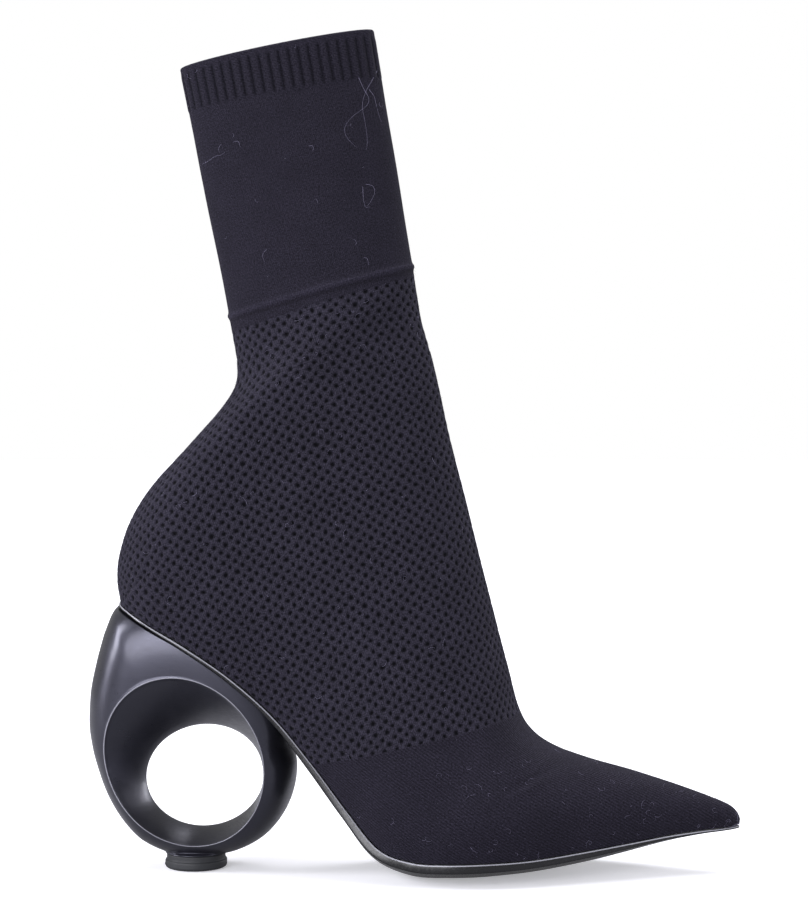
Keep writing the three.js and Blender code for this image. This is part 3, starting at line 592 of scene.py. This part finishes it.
def makeLining():
    # The last's surface moved in by the wall's thickness along its normals. It is joined to the cuff's fold
    # above, to the feather edges below and to one middle point at the toe end, and faces into the boot.
    place = np.concatenate([np.linspace(last["cavity"], 19.9, 60), np.linspace(20, cuff["end"], 70)])
    points, normals, _ = upperGrid(place, evenTurns(16, 44))
    inner = points - normals * last["wall"]
    inner[-1] = foldEdge[np.linspace(0, len(foldEdge) - 1, inner.shape[1]).round().astype(int)]
    middle = inner[:1].mean(axis=1, keepdims=True).repeat(inner.shape[1], 1)
    grid = np.concatenate([middle, inner])
    edges = np.concatenate([middle, points])
    grid = np.concatenate([edges[:, :1], grid, edges[:, -1:]], axis=1)
    piece = makePiece("lining", grid, gridQuads(*grid.shape[:2]), liningCloth, flip=True)
    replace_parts(piece, "upper")


makeLining()
print("upper made")

# Outsole sheet, thin at the waist and the toe. Dip and thickness are given by place along the sole.
sole = {
    "dip": [(0, 0), (2, 0.04), (4, 0.28), (6, 0.72), (8, 1), (9, 1), (10, 0.92), (11, 0.6), (12, 0.25),
            (13, 0.06), (14, 0), (16, 0), (20, 0)],
    "thickness": [(0, 1), (2, 1), (4, 1.5), (6, 2.6), (8, 3.3), (9, 3.4), (10, 3.4), (11, 3.2), (12, 2.9),
                  (13, 2.5), (14, 1.9), (16, 1.4), (20, 1.2)],
    "color": "#0e0e10",
    "edgeRound": 0.6,
    # pale painted highlight along the top edge
    "edgeColor": "#9a9aa2",
    "start": 0.14,
    "rows": 260,
    "columns": 36,
}
insole = {"start": 4.3, "thickness": 2, "edgeRound": 0.6, "rows": 150, "columns": 40, "color": "#1c1b21"}


def featherPoints(place, side):
    # Feather edge of one side: the back line's point, moved across by the swing and that side's half width.
    row = lastSections(place)
    half = np.where(side < 0, row["featherOuter"][:, 0], row["featherInner"][:, 0])
    return np.stack([row["backX"][:, 0], row["swing"][:, 0] + side * half, row["backZ"][:, 0]], -1)


def soleDown(place):
    # Downwards, square to the sole line in side view.
    nudge = 0.2
    place = np.clip(place, nudge, last["heelBack"] - 1)
    ahead, behind = (featherPoints(place + move, np.ones(len(place))) for move in (-nudge, nudge))
    down = np.stack([ahead[:, 2] - behind[:, 2], np.zeros(len(place)), behind[:, 0] - ahead[:, 0]], -1)
    return unit(down)


def featherOutward(place, side):
    # Away from the foot, square to the feather line, which runs on as the other side's past both its ends.
    def at(spot):
        past = (spot < 0) | (spot > last["heelBack"])
        inside = np.where(spot < 0, -spot, np.minimum(spot, 2 * last["heelBack"] - spot))
        return featherPoints(inside, np.where(past, -side, side))
    along = at(place + 0.1) - at(place - 0.1)
    return unit(np.cross(along, soleDown(place))) * -side


def bottomPoints(place, across, ease, depth):
    # Points under the last: across runs from -1 at the outer edge to 1 at the inner, ease lets the edge out
    # and depth goes down, with the dip of the tread added as a parabola between the edges.
    feather = [featherPoints(place, np.full(len(place), side)) for side in (-1.0, 1.0)]
    edges = [line[:, None] + featherOutward(place, side)[:, None] * ease[None, :, None]
             for line, side in zip(feather, (-1.0, 1.0))]
    points = edges[0] + (edges[1] - edges[0]) * (across[None, :, None] + 1) / 2
    outer, inner = (line[:, 1:2] for line in feather)
    half = np.maximum((inner - outer) / 2, 1)
    share = np.minimum(np.abs(points[..., 1] - (outer + inner) / 2) / half, 1)
    dip = smoothTable(sole["dip"], place)[:, None] * last["treadDrop"] * (1 - share ** 2)
    return points + soleDown(place)[:, None] * (depth + dip)[..., None]


def soleThickness(place):
    # The sheet's thickness, a smooth curve through the table's values.
    return smoothTable(sole["thickness"], place)


def plate(place, ease, top, thickness, edgeRound, columns):
    # Closed ring round each section: over the top, a quarter circle at each corner, back along the bottom.
    corner = np.linspace(0, np.pi / 2, 5)
    flat = np.linspace(-1, 1, columns + 1)
    inset = edgeRound * (1 - np.sin(corner))
    drop = edgeRound * (1 - np.cos(corner))
    across = np.concatenate([flat, np.ones(10), flat[::-1], -np.ones(10)])
    pull = np.concatenate([np.full(len(flat), edgeRound), inset, inset[::-1]])
    pull = np.concatenate([pull, pull])
    depthTop = np.concatenate([np.zeros(len(flat)), drop, np.zeros(5 + len(flat)), np.zeros(5), drop[::-1]])
    depthLow = np.concatenate([np.zeros(len(flat) + 5), drop[::-1], np.zeros(len(flat)), drop, np.zeros(5)])
    low = np.concatenate([np.zeros(len(flat) + 5), np.ones(5 + len(flat) + 5), np.zeros(5)])
    depth = top + depthTop[None, :] + low[None, :] * (thickness[:, None] - depthLow[None, :])
    points = bottomPoints(place, across, ease - pull, depth)
    points[..., 2] = np.maximum(points[..., 2], 0)
    return np.concatenate([points, points[:, :1]], axis=1)


def topEdge(grid, columns):
    # 1 where a plate's top corners turn, 0 elsewhere: the place of the sole's painted highlight line.
    weight = np.zeros(grid.shape[1])
    weight[columns + 3:columns + 5] = weight[-5:-3] = 1
    return np.stack([weight[None].repeat(len(grid), 0), np.zeros(grid.shape[:2])], -1)


def closeEnds(grid):
    # The mean of the first ring and that of the last one close the two ends.
    first, final = (ring[:, :-1].mean(axis=1, keepdims=True).repeat(grid.shape[1], 1)
                    for ring in (grid[:1], grid[-1:]))
    return np.concatenate([first, grid, final])


def soleMaterial():
    # TPU, injection moulded: nearly black and half glossy, with a fine grain that breaks up its reflections.
    # Its top edge has a pale painted highlight line.
    material, tree, shader = newMaterial("mouldedSole", sole["color"], 0.24, SpecularIORLevel=0.5)
    grain = addNode(tree, "TexNoise", addNode(tree, "TexCoord").outputs["Object"], 900.0, 2.0, 0.6)
    rough = addNode(tree, "MapRange", grain, 0.3, 0.7, 0.18, 0.32)
    tree.links.new(rough.outputs[0], shader.inputs["Roughness"])
    addPaintedEdgeHighlight(tree, shader, sole["color"], sole["edgeColor"])
    return material


def makeOutsole():
    # A plate just under the last, let out past the upper by the sole's margin.
    place = np.linspace(sole["start"], last["heelBack"], sole["rows"] + 1)
    grid = closeEnds(plate(
        place, last["soleMargin"], last["seatGap"], soleThickness(place), sole["edgeRound"], sole["columns"]))
    sheet = makePiece("outsoleSheet", grid, gridQuads(*grid.shape[:2]), soleMaterial(),
                      {"edges": topEdge(grid, sole["columns"])})
    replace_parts(sheet, "outsole")


def makeInsole():
    # A plate of even thickness inside the upper's wall. It is faced with a brushed polyester sock lining,
    # which is matte and soft to the eye.
    sockLining, _, _ = newMaterial("sockLining", insole["color"], 0.8, SheenWeight=0.2, SpecularIORLevel=0.3)
    place = np.linspace(insole["start"], last["heelBack"], insole["rows"] + 1)
    ease = -(last["wall"] + 2 * last["seatGap"])
    top = -insole["thickness"] - last["seatGap"]
    thickness = np.full(len(place), float(insole["thickness"]))
    grid = closeEnds(plate(place, ease, top, thickness, insole["edgeRound"], insole["columns"]))
    board = makePiece("insoleBoard", grid, gridQuads(*grid.shape[:2]), sockLining)
    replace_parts(board, "insole")


makeOutsole()
makeInsole()
print("sole and insole made")

# Ring heel, one moulding. Crest gives the outer line by degrees past the seat's back end, as a share of the
# way from the ring's radius to the seat's reach.
heel = {
    "ringRadius": 37,
    "liftSink": 3.3,
    "ringX": 1.5,
    "topHalf": 28.4,
    "footHalf": 14.6,
    "spread": 0.75,
    "crown": 7,
    "funnel": 1.25,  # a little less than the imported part's, for a crisper throat
    "waist": (5, 45, 0.06, 0.16),  # from, to, outer side's cut, inner side's cut
    "rim": (-3, 2.8, 8, 4.1, 28),  # off the ring's centre in x and z, wall across and along, tilt
    "throat": (2, -4.7, 14.4, 17.8, 9),
    "crest": [(-244, -0.02), (-220, -0.045), (-200, -0.06), (-180, -0.03), (-160, 0), (-118, 0),
              (-104, -0.03), (-90, 0.1), (-76, 0.3), (-60, 0.55), (-44, 0.78), (-28, 0.95), (-14, 1.02),
              (0, 1), (6.5, 0.85), (12.5, 0.7), (19.3, 0.56), (26.8, 0.44), (34.9, 0.325), (44.5, 0.22),
              (53, 0.135), (66, 0.04), (80, -0.01), (96, -0.03), (116, -0.02)],
    "color": "#17171c",
    # pale painted highlight on the rim
    "rimColor": "#8f8f97",
    "rimRound": 0.5,
    "bead": 0.2,
    "turns": 340,
}
lift = {"height": 5.5, "along": 11.7, "across": 12.4, "nub": 0.6, "nubTurn": 205, "color": "#28292c"}
ringZ = lift["height"] + last["seatGap"] + heel["ringRadius"] - heel["liftSink"]


def seatLine(place):
    # Middle line of the heel's seat: the last's bottom, moved down by the sheet and a gap on each side of it.
    depth = (2 * last["seatGap"] + soleThickness(place))[:, None]
    return bottomPoints(place, np.zeros(1), np.zeros(1), depth)[:, 0]


# The seat as angles and reaches round the ring's centre
seatPoints = seatLine(np.linspace(10, last["heelBack"], 600))
seatAngles = np.arctan2(seatPoints[:, 2] - ringZ, seatPoints[:, 0] - heel["ringX"])
seatReaches = np.hypot(seatPoints[:, 2] - ringZ, seatPoints[:, 0] - heel["ringX"])
backAngle, backReach, seatHigh = seatAngles[-1], seatReaches[-1], seatPoints[-1, 2]


def crestReach(angle):
    # Reach of the outer line: the ring's radius and the table's share of the way to the seat's back end.
    turn = (np.degrees(angle - backAngle) + 244) % 360 - 244
    return heel["ringRadius"] + (backReach - heel["ringRadius"]) * smoothTable(heel["crest"], turn)


def openingReach(name, angle):
    # Distance along each ray from the ring's centre to a tilted oval, from the quadratic of the two.
    offX, offZ, wallAcross, wallAlong, tilt = heel[name]
    tilt = np.radians(tilt)
    across, along = heel["ringRadius"] - wallAcross, heel["ringRadius"] - wallAlong
    px = (-offX * np.cos(tilt) - offZ * np.sin(tilt)) / across
    pz = (-offZ * np.cos(tilt) + offX * np.sin(tilt)) / along
    qx = (np.cos(angle) * np.cos(tilt) + np.sin(angle) * np.sin(tilt)) / across
    qz = (np.sin(angle) * np.cos(tilt) - np.cos(angle) * np.sin(tilt)) / along
    a, b, c = qx ** 2 + qz ** 2, px * qx + pz * qz, px ** 2 + pz ** 2 - 1
    return (-b + np.sqrt(b ** 2 - a * c)) / a


def faceHalf(angle, reach, side):
    # Half width of the heel's face: it spreads with a power of the height, is cut in at the waist, rounds
    # over to the crest as a high order oval and swells round the top lift as an ellipse.
    x, z = heel["ringX"] + reach * np.cos(angle), ringZ + reach * np.sin(angle)
    start, end, outerCut, innerCut = heel["waist"]
    climb = (np.maximum(z, 0) / seatHigh) ** heel["spread"]
    full = (heel["footHalf"] + (heel["topHalf"] - heel["footHalf"]) * climb)
    full = full * (1 - step(start, end, x) * (outerCut if side < 0 else innerCut))
    share = np.minimum(reach / crestReach(angle), 1)
    face = full * np.sqrt(1 - share ** heel["crown"])
    boss = lift["across"] * np.sqrt(np.maximum(0, 1 - (x / lift["along"]) ** 2))
    rimLow = ringZ + heel["rim"][1] - (heel["ringRadius"] - heel["rim"][3])
    boss = boss * (1 - step(lift["height"] + last["seatGap"], rimLow, z))
    soft = np.where(boss > 0, 1.2, 0)
    return np.maximum((face + boss + np.sqrt((face - boss) ** 2 + soft ** 2)) / 2 * (boss > 0), face)


def makeHeel():
    # Polar grid round the ring's centre. Each ray runs over the seat, down the face, round the rim's small
    # quadratic curve and into the funnel, whose reach is a power of the width left, down to the throat. Then
    # it runs out again on the inner side.
    angle = backAngle - np.linspace(0, 2 * np.pi, heel["turns"] + 1)
    angle = np.arctan2(np.sin(angle), np.cos(angle))[:, None]
    angle[-1] = angle[0]
    seat = np.interp(angle, seatAngles, seatReaches, left=np.inf, right=np.inf)
    outer = np.minimum(crestReach(angle), seat)
    foot = ringZ - lift["height"] - last["seatGap"]
    outer = np.where(np.sin(angle) < 0, np.minimum(outer, foot / np.maximum(-np.sin(angle), 1e-6)), outer)
    rim, throat = openingReach("rim", angle), openingReach("throat", angle)
    sides = []
    for side in (-1, 1):
        rimHalf = faceHalf(angle, rim, side)
        seatShare = np.linspace(0, 1, 9)[None, :-1]
        seatHalf = faceHalf(angle, outer, side) * seatShare
        faceShare = 1 - np.cos(np.linspace(0, np.pi / 2, 44))[None, :]
        faceReach = outer + (rim + heel["rimRound"] - outer) * faceShare
        cut = heel["rimRound"] / rimHalf
        left = 1 - cut - (1 - cut) * np.linspace(0, 1, 34)[None, :]
        boreReach = throat + (rim - throat) * left ** heel["funnel"]
        boreHalf = rimHalf * left
        faceEnd, faceEndHalf = faceReach[:, -1:], faceHalf(angle, faceReach, side)[:, -1:]
        t = np.linspace(0, 1, 12)[None, 1:-1]
        bendReach = (1 - t) ** 2 * faceEnd + 2 * t * (1 - t) * rim + t ** 2 * boreReach[:, :1]
        bendHalf = (1 - t) ** 2 * faceEndHalf + 2 * t * (1 - t) * rimHalf + t ** 2 * boreHalf[:, :1]
        bendHalf = bendHalf + heel["bead"] * np.sin(np.pi * t)
        reach = np.concatenate([outer.repeat(8, 1), faceReach, bendReach, boreReach], axis=1)
        half = np.concatenate([seatHalf, faceHalf(angle, faceReach, side), bendHalf, boreHalf], axis=1) * side
        x, z = heel["ringX"] + reach * np.cos(angle), ringZ + reach * np.sin(angle)
        sides.append(np.stack([x, half, z], -1))
    # painted highlight on the middle rows of the rim's bend
    rimHighlight = np.concatenate([np.zeros(8 + 43), [0, 0, 0.2, 0.7, 1, 1, 0.7, 0.2, 0, 0, 0, 0], np.zeros(33)])
    rimHighlight = np.concatenate([rimHighlight, rimHighlight[-2::-1]])[None].repeat(len(angle), 0)
    grid = np.concatenate([sides[0], sides[1][:, -2::-1]], axis=1)
    return grid, {"edges": np.stack([rimHighlight, 0 * rimHighlight], -1)}


def heelMaterial():
    # ABS, injection moulded, with a satin lacquer: nearly black, with soft broad reflections. Wiping has left
    # faint marks along the face and the lacquer is a little uneven. The rim has a pale painted highlight
    # line.
    material, tree, shader = newMaterial(
        "satinAbs", heel["color"], 0.34, SpecularIORLevel=0.65, SpecularTint=linear("#e4e4ff"),
        CoatWeight=0.3, CoatRoughness=0.2)
    place = addNode(tree, "TexCoord").outputs["Object"]
    wiped = addNode(tree, "Mapping", place, None, (0, 0.7, 0), (420, 60, 2600))
    wiped = addNode(tree, "TexNoise", wiped, 1.0, 3.0, 0.7)
    cloudy = addNode(tree, "TexNoise", place, 90.0, 4.0, 0.65)
    haze = addNode(tree, "Math", wiped, cloudy, operation="MULTIPLY")
    rough = addNode(tree, "MapRange", haze, 0.12, 0.4, 0.27, 0.44)
    tree.links.new(rough.outputs[0], shader.inputs["Roughness"])
    addRelief(tree, shader, wiped, 0.12, 0.0003)
    addPaintedEdgeHighlight(tree, shader, heel["color"], heel["rimColor"])
    return material


def makeLift():
    # Profile of inset and height carried round an oval, with one bump, a product of two bell curves, where
    # the mould's gate was. TPU rubber, moulded and matte, so that it shows as a plain dark grey pad.
    profile = np.array([
        (lift["along"], 0), (1.0, 0), (0.7, 0.08), (0.35, 0.3), (0.1, 0.6), (0, 1.0), (0, 2.6), (0.12, 3.0),
        (0.5, 3.3), (0.62, 3.6), (0.62, 5.2), (0.8, 5.45), (1.2, lift["height"]),
        (lift["along"], lift["height"])])
    spot = np.linspace(0, len(profile) - 1, 53)
    profile = np.stack([np.interp(spot, np.arange(len(profile)), column) for column in profile.T], -1)
    turn = np.linspace(0, 2 * np.pi, 145)[:, None]
    inset, z = profile[:, 0][None], profile[:, 1][None]
    nub = np.exp(-((turn - np.radians(lift["nubTurn"])) / 0.07) ** 2) * np.exp(-((z - 1.9) / 0.7) ** 2)
    nub = lift["nub"] * nub * (inset < 1)
    along, across = (lift[key] - inset * lift[key] / lift["along"] + nub for key in ("along", "across"))
    grid = np.stack([along * np.cos(turn), across * np.sin(turn), z + 0 * turn], -1)
    liftRubber, _, _ = newMaterial("liftRubber", lift["color"], 0.6, SpecularIORLevel=0.4)
    pad = makePiece("topLiftPad", grid, gridQuads(*grid.shape[:2]), liftRubber, flip=True)
    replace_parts(pad, "top_lift")


grid, maps = makeHeel()
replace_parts(makePiece("ringHeel", grid, gridQuads(*grid.shape[:2]), heelMaterial(), maps), "heel")
makeLift()
print("heel and top lift made")

# Loose fibres: a short halo of fluff all over the knit, and a few longer threads caught on it.
fluff = {
    "hairs": 3000,
    "curls": 330,
    "length": (0.5, 1.3),
    "thickness": 0.035,
    "threadThickness": 0.13,
    "curlThickness": 0.085,
    "seed": 7,
    "color": "#565263",
    "threadColor": "#77738a",
    "threads": [
        # places in side view along each thread
        [(62.7, 297.5), (64.9, 292.6), (66.7, 289.3), (66, 286.3), (60.8, 282), (58.2, 278), (58.9, 274.2),
         (62.6, 270.5)],
        [(69.4, 300), (67.5, 295.6), (65.3, 290.8), (64.5, 286.4), (65.6, 280), (66.4, 273.4), (66, 269.7)],
        [(66.7, 292.6), (68.6, 290), (69.7, 285), (71.2, 280.7)],
        [(64.9, 256), (65.2, 251.2), (66, 248.3), (67.5, 248.6)],
        [(66, 257), (68.6, 256.4), (69.3, 253.8), (67.5, 250), (66, 248.3)],
        [(2.7, 265.4), (6.5, 266.5), (8.8, 267.9), (11.4, 268.3), (13.3, 269.4)],
        [(11.8, 272.4), (10.6, 270.9), (11, 269)],
        [(16.7, 273), (18.5, 273), (19.3, 270.8)],
        [(45.1, 271), (46.6, 271), (46.6, 268.8)],
        [(65.6, 229.7), (67, 229), (67.5, 226.8)],
        [(29.4, 232.9), (27.9, 230.7), (28.6, 228.4)],
    ],
    "flecks": [(36.2, 266.3), (29.6, 222.7), (64.8, 263.2), (17, 166), (28, 162), (42.7, 157.7),
               (67.3, 143.9), (8, 124.3), (6.6, 141.2), (112, 96), (96, 71), (52, 92), (148, 47), (171, 39),
               (24, 196)],
}


def fibres(path, thickness):
    # Three-sided tubes along many paths at once, each closed to a point at both ends. Path is fibres by
    # points by place. A ring is a path point plus half the thickness times the cosine and the sine of a turn,
    # along two directions square to the path.
    ahead = unit(np.gradient(path, axis=1))
    twice = np.clip(np.arange(-1, path.shape[1] + 1), 0, path.shape[1] - 1)
    side = unit(np.cross(ahead, np.array([0.31, 0.87, 0.4])))
    over = np.cross(ahead, side)
    turn = np.radians([0, 120, 240, 0])
    taper = np.concatenate([[0], np.linspace(1, 0.35, path.shape[1]), [0]])[None, :, None, None]
    cosine, sine = (wave(turn)[None, None, :, None] for wave in (np.cos, np.sin))
    ring = cosine * side[:, :, None] + sine * over[:, :, None]
    points = path[:, twice, None] + ring[:, twice] * thickness / 2 * taper
    count, rows = points.shape[:2]
    quads = gridQuads(rows, 4)
    quads = (quads[None] + (np.arange(count) * rows * 4)[:, None, None]).reshape(-1, 4)
    return points, quads


def makeFluff():
    # Hairs leave the knit with a sine outwards and lean along it with a power of their length. Threads and
    # flecks follow their places in side view, laid on the nearest point of the outer side. Cut polyester
    # fibres, spun and grey: fine light lines on the dark knit.
    seeded = np.random.default_rng(fluff["seed"])
    columns = 150
    place, turn = np.linspace(0.4, 33.9, 420), evenTurns(22, columns)
    points, normals, _ = upperGrid(place, turn)
    points = points + normals * clothHeight(points)[..., None]
    row = seeded.integers(0, len(place), fluff["hairs"])
    column = seeded.integers(0, points.shape[1], fluff["hairs"])
    root, out = points[row, column], normals[row, column]
    lean = unit(seeded.normal(size=root.shape))
    lean = unit(lean - (lean * out).sum(-1, keepdims=True) * out)
    length = seeded.uniform(*fluff["length"], fluff["hairs"])[:, None, None]
    share = np.linspace(0, 1, 5)[None, :, None]
    path = root[:, None] + length * (out[:, None] * np.sin(share * 1.4) * 0.6 + lean[:, None] * share ** 1.4)
    hairPoints, hairQuads = fibres(path, fluff["thickness"])
    hair, _, _ = newMaterial("fluff", fluff["color"], 0.8, SpecularIORLevel=0.3)
    makePiece("fluffHairs", hairPoints, hairQuads, hair)
    outerPoints, outerNormals = (values[:, :columns + 1].reshape(-1, 3) for values in (points, normals))
    paths = []
    for places in fluff["threads"] + [[spot, (spot[0] + 0.5, spot[1] + 0.3)] for spot in fluff["flecks"]]:
        rows = np.array(places, float)
        share = np.linspace(0, len(rows) - 1, 48)
        line = smoothRows(np.pad(rows, ((0, 0), (3, 0))), share)[:, 3:]
        stray = seeded.normal(0, 0.05, line.shape).cumsum(axis=0)
        line = line + stray * np.sin(np.pi * share / share[-1])[:, None] * 0.4
        nearest = np.argmin(((outerPoints[None][..., [0, 2]] - line[:, None]) ** 2).sum(-1), axis=1)
        on = outerPoints[nearest] + outerNormals[nearest] * 0.14
        on[:, 0], on[:, 2] = line[:, 0], line[:, 1]
        for _ in range(3):
            on[1:-1] = (on[:-2] + on[1:-1] + on[2:]) / 3
        paths.append(on)
    threadPoints, threadQuads = fibres(np.array(paths), fluff["threadThickness"])
    thread, _, _ = newMaterial("looseThread", fluff["threadColor"], 0.8, SpecularIORLevel=0.3)
    # shorter curls lie on the knit, most on the foot, each a piece of a circle beside its root
    row = (seeded.random(fluff["curls"]) ** 1.7 * len(place)).astype(int)
    column = seeded.integers(0, points.shape[1], fluff["curls"])
    root, out = points[row, column], normals[row, column]
    lean = seeded.normal(size=root.shape)
    lean = unit(lean - (lean * out).sum(-1, keepdims=True) * out)[:, None]
    aside = np.cross(out, lean[:, 0])[:, None]
    curl = seeded.uniform(0.8, 5, fluff["curls"])[:, None, None]
    length = seeded.uniform(1.2, 4.5, fluff["curls"])[:, None, None]
    share = np.linspace(0, 1, 14)[None, :, None]
    path = lean * np.sin(curl * share) + aside * (1 - np.cos(curl * share))
    path = root[:, None] + out[:, None] * 0.12 + path * length / curl
    curlPoints, curlQuads = fibres(path, fluff["curlThickness"])
    makePiece("shortCurls", curlPoints, curlQuads, thread)
    makePiece("looseThreads", threadPoints, threadQuads, thread)


makeFluff()
print("fibres made")

# Plain studio: pale floor, white surroundings, a large soft box on each side of the camera and one above.
studio = {
    "floor": "#f2f2f5",
    "floorInMirror": "#8c8c90",  # what light and reflections take from the floor
    "world": 0.36,
    "glow": 0.35,
    "cameraPlace": (0.149, -0.900, 0.1778),
    "cameraTurn": (88.759, 0.0, 4.435),
    "lens": 96,
    "lit": (0.07, 0, 0.13),
    "boxes": {
        # place, size, power
        "frontBox": ((-0.4, -1.15, 0.32), (0.85, 0.85), 17),
        "leftBox": ((-1.15, -0.3, 0.55), (0.4, 0.9), 16),
        "rightStrip": ((0.85, -0.3, 0.2), (0.12, 0.5), 2.5),
        "backStrip": ((0.8, 0.65, 0.2), (0.18, 0.5), 2.5),
        "topBox": ((0.25, 0.1, 1.2), (0.8, 0.6), 12),
        "backBox": ((0.3, 0.6, 1.35), (0.8, 0.5), 4),
    },
}


def addSoftBox(name, place, size, power):
    # A flat soft light that looks from its place at the boot: tilt and turn are the direction's two angles.
    light = bpy.data.lights.new(name, "AREA")
    light.color = (0.94, 0.94, 1.0)
    light.shape, light.size, light.size_y, light.energy = "RECTANGLE", size[0], size[1], power
    box = bpy.data.objects.new(name, light)
    box.location = place
    direction = np.array(studio["lit"]) - np.array(place)
    tilt = np.arctan2(np.hypot(*direction[:2]), -direction[2])
    box.rotation_euler = (tilt, 0, np.arctan2(direction[1], direction[0]) - np.pi / 2)
    bpy.context.scene.collection.objects.link(box)


def makeStudio():
    # Floor of pale coated paper, matte. It glows a little, more with distance, so that it runs into the white
    # surroundings.
    floorPaint, tree, shader = newMaterial("paleFloor", studio["floor"], 0.7, SpecularIORLevel=0.2)
    away = addNode(tree, "VectorMath", addNode(tree, "TexCoord").outputs["Object"], operation="LENGTH")
    paint = addNode(
        tree, "Mix", addNode(tree, "LightPath"), linear(studio["floorInMirror"]), linear(studio["floor"]),
        data_type="RGBA")
    tree.links.new(paint.outputs[2], shader.inputs["Base Color"])
    glow = addNode(
        tree, "MapRange", away, 0.25, 1.4, studio["glow"], 1.0, interpolation_type="SMOOTHSTEP")
    glow = addNode(tree, "Mix", addNode(tree, "LightPath"), 0.12, glow)
    tree.links.new(glow.outputs[0], shader.inputs["Emission Strength"])
    shader.inputs["Emission Color"].default_value = linear("#fbfbff")
    turn = np.linspace(0, 2 * np.pi, 65)
    ring = np.stack([6 * np.cos(turn), 6 * np.sin(turn), 0 * turn], -1)
    mesh = bpy.data.meshes.new("floor")
    mesh.from_pydata(ring[:-1].tolist(), [], [list(range(64))])
    mesh.materials.append(floorPaint)
    floor = bpy.data.objects.new("floor", mesh)
    floor.location.z = -0.0002
    bpy.context.scene.collection.objects.link(floor)
    # Surroundings are white to the camera and dimmer as a light.
    world = bpy.data.worlds.new("studio")
    world.use_nodes = True
    tree = world.node_tree
    background = tree.nodes["Background"]
    background.inputs[0].default_value = (1, 1, 1, 1)
    strength = addNode(tree, "Mix", addNode(tree, "LightPath"), studio["world"], 1.0)
    tree.links.new(strength.outputs[0], background.inputs[1])
    bpy.context.scene.world = world
    for name, settings in studio["boxes"].items():
        addSoftBox(name, *settings)
    camera = bpy.data.cameras.new("camera")
    camera.lens, camera.sensor_width = studio["lens"], 36
    view = bpy.data.objects.new("camera", camera)
    view.location, view.rotation_euler = studio["cameraPlace"], np.radians(studio["cameraTurn"])
    bpy.context.scene.collection.objects.link(view)
    bpy.context.scene.camera = view
    bpy.context.scene.view_settings.view_transform = "Standard"


makeStudio()
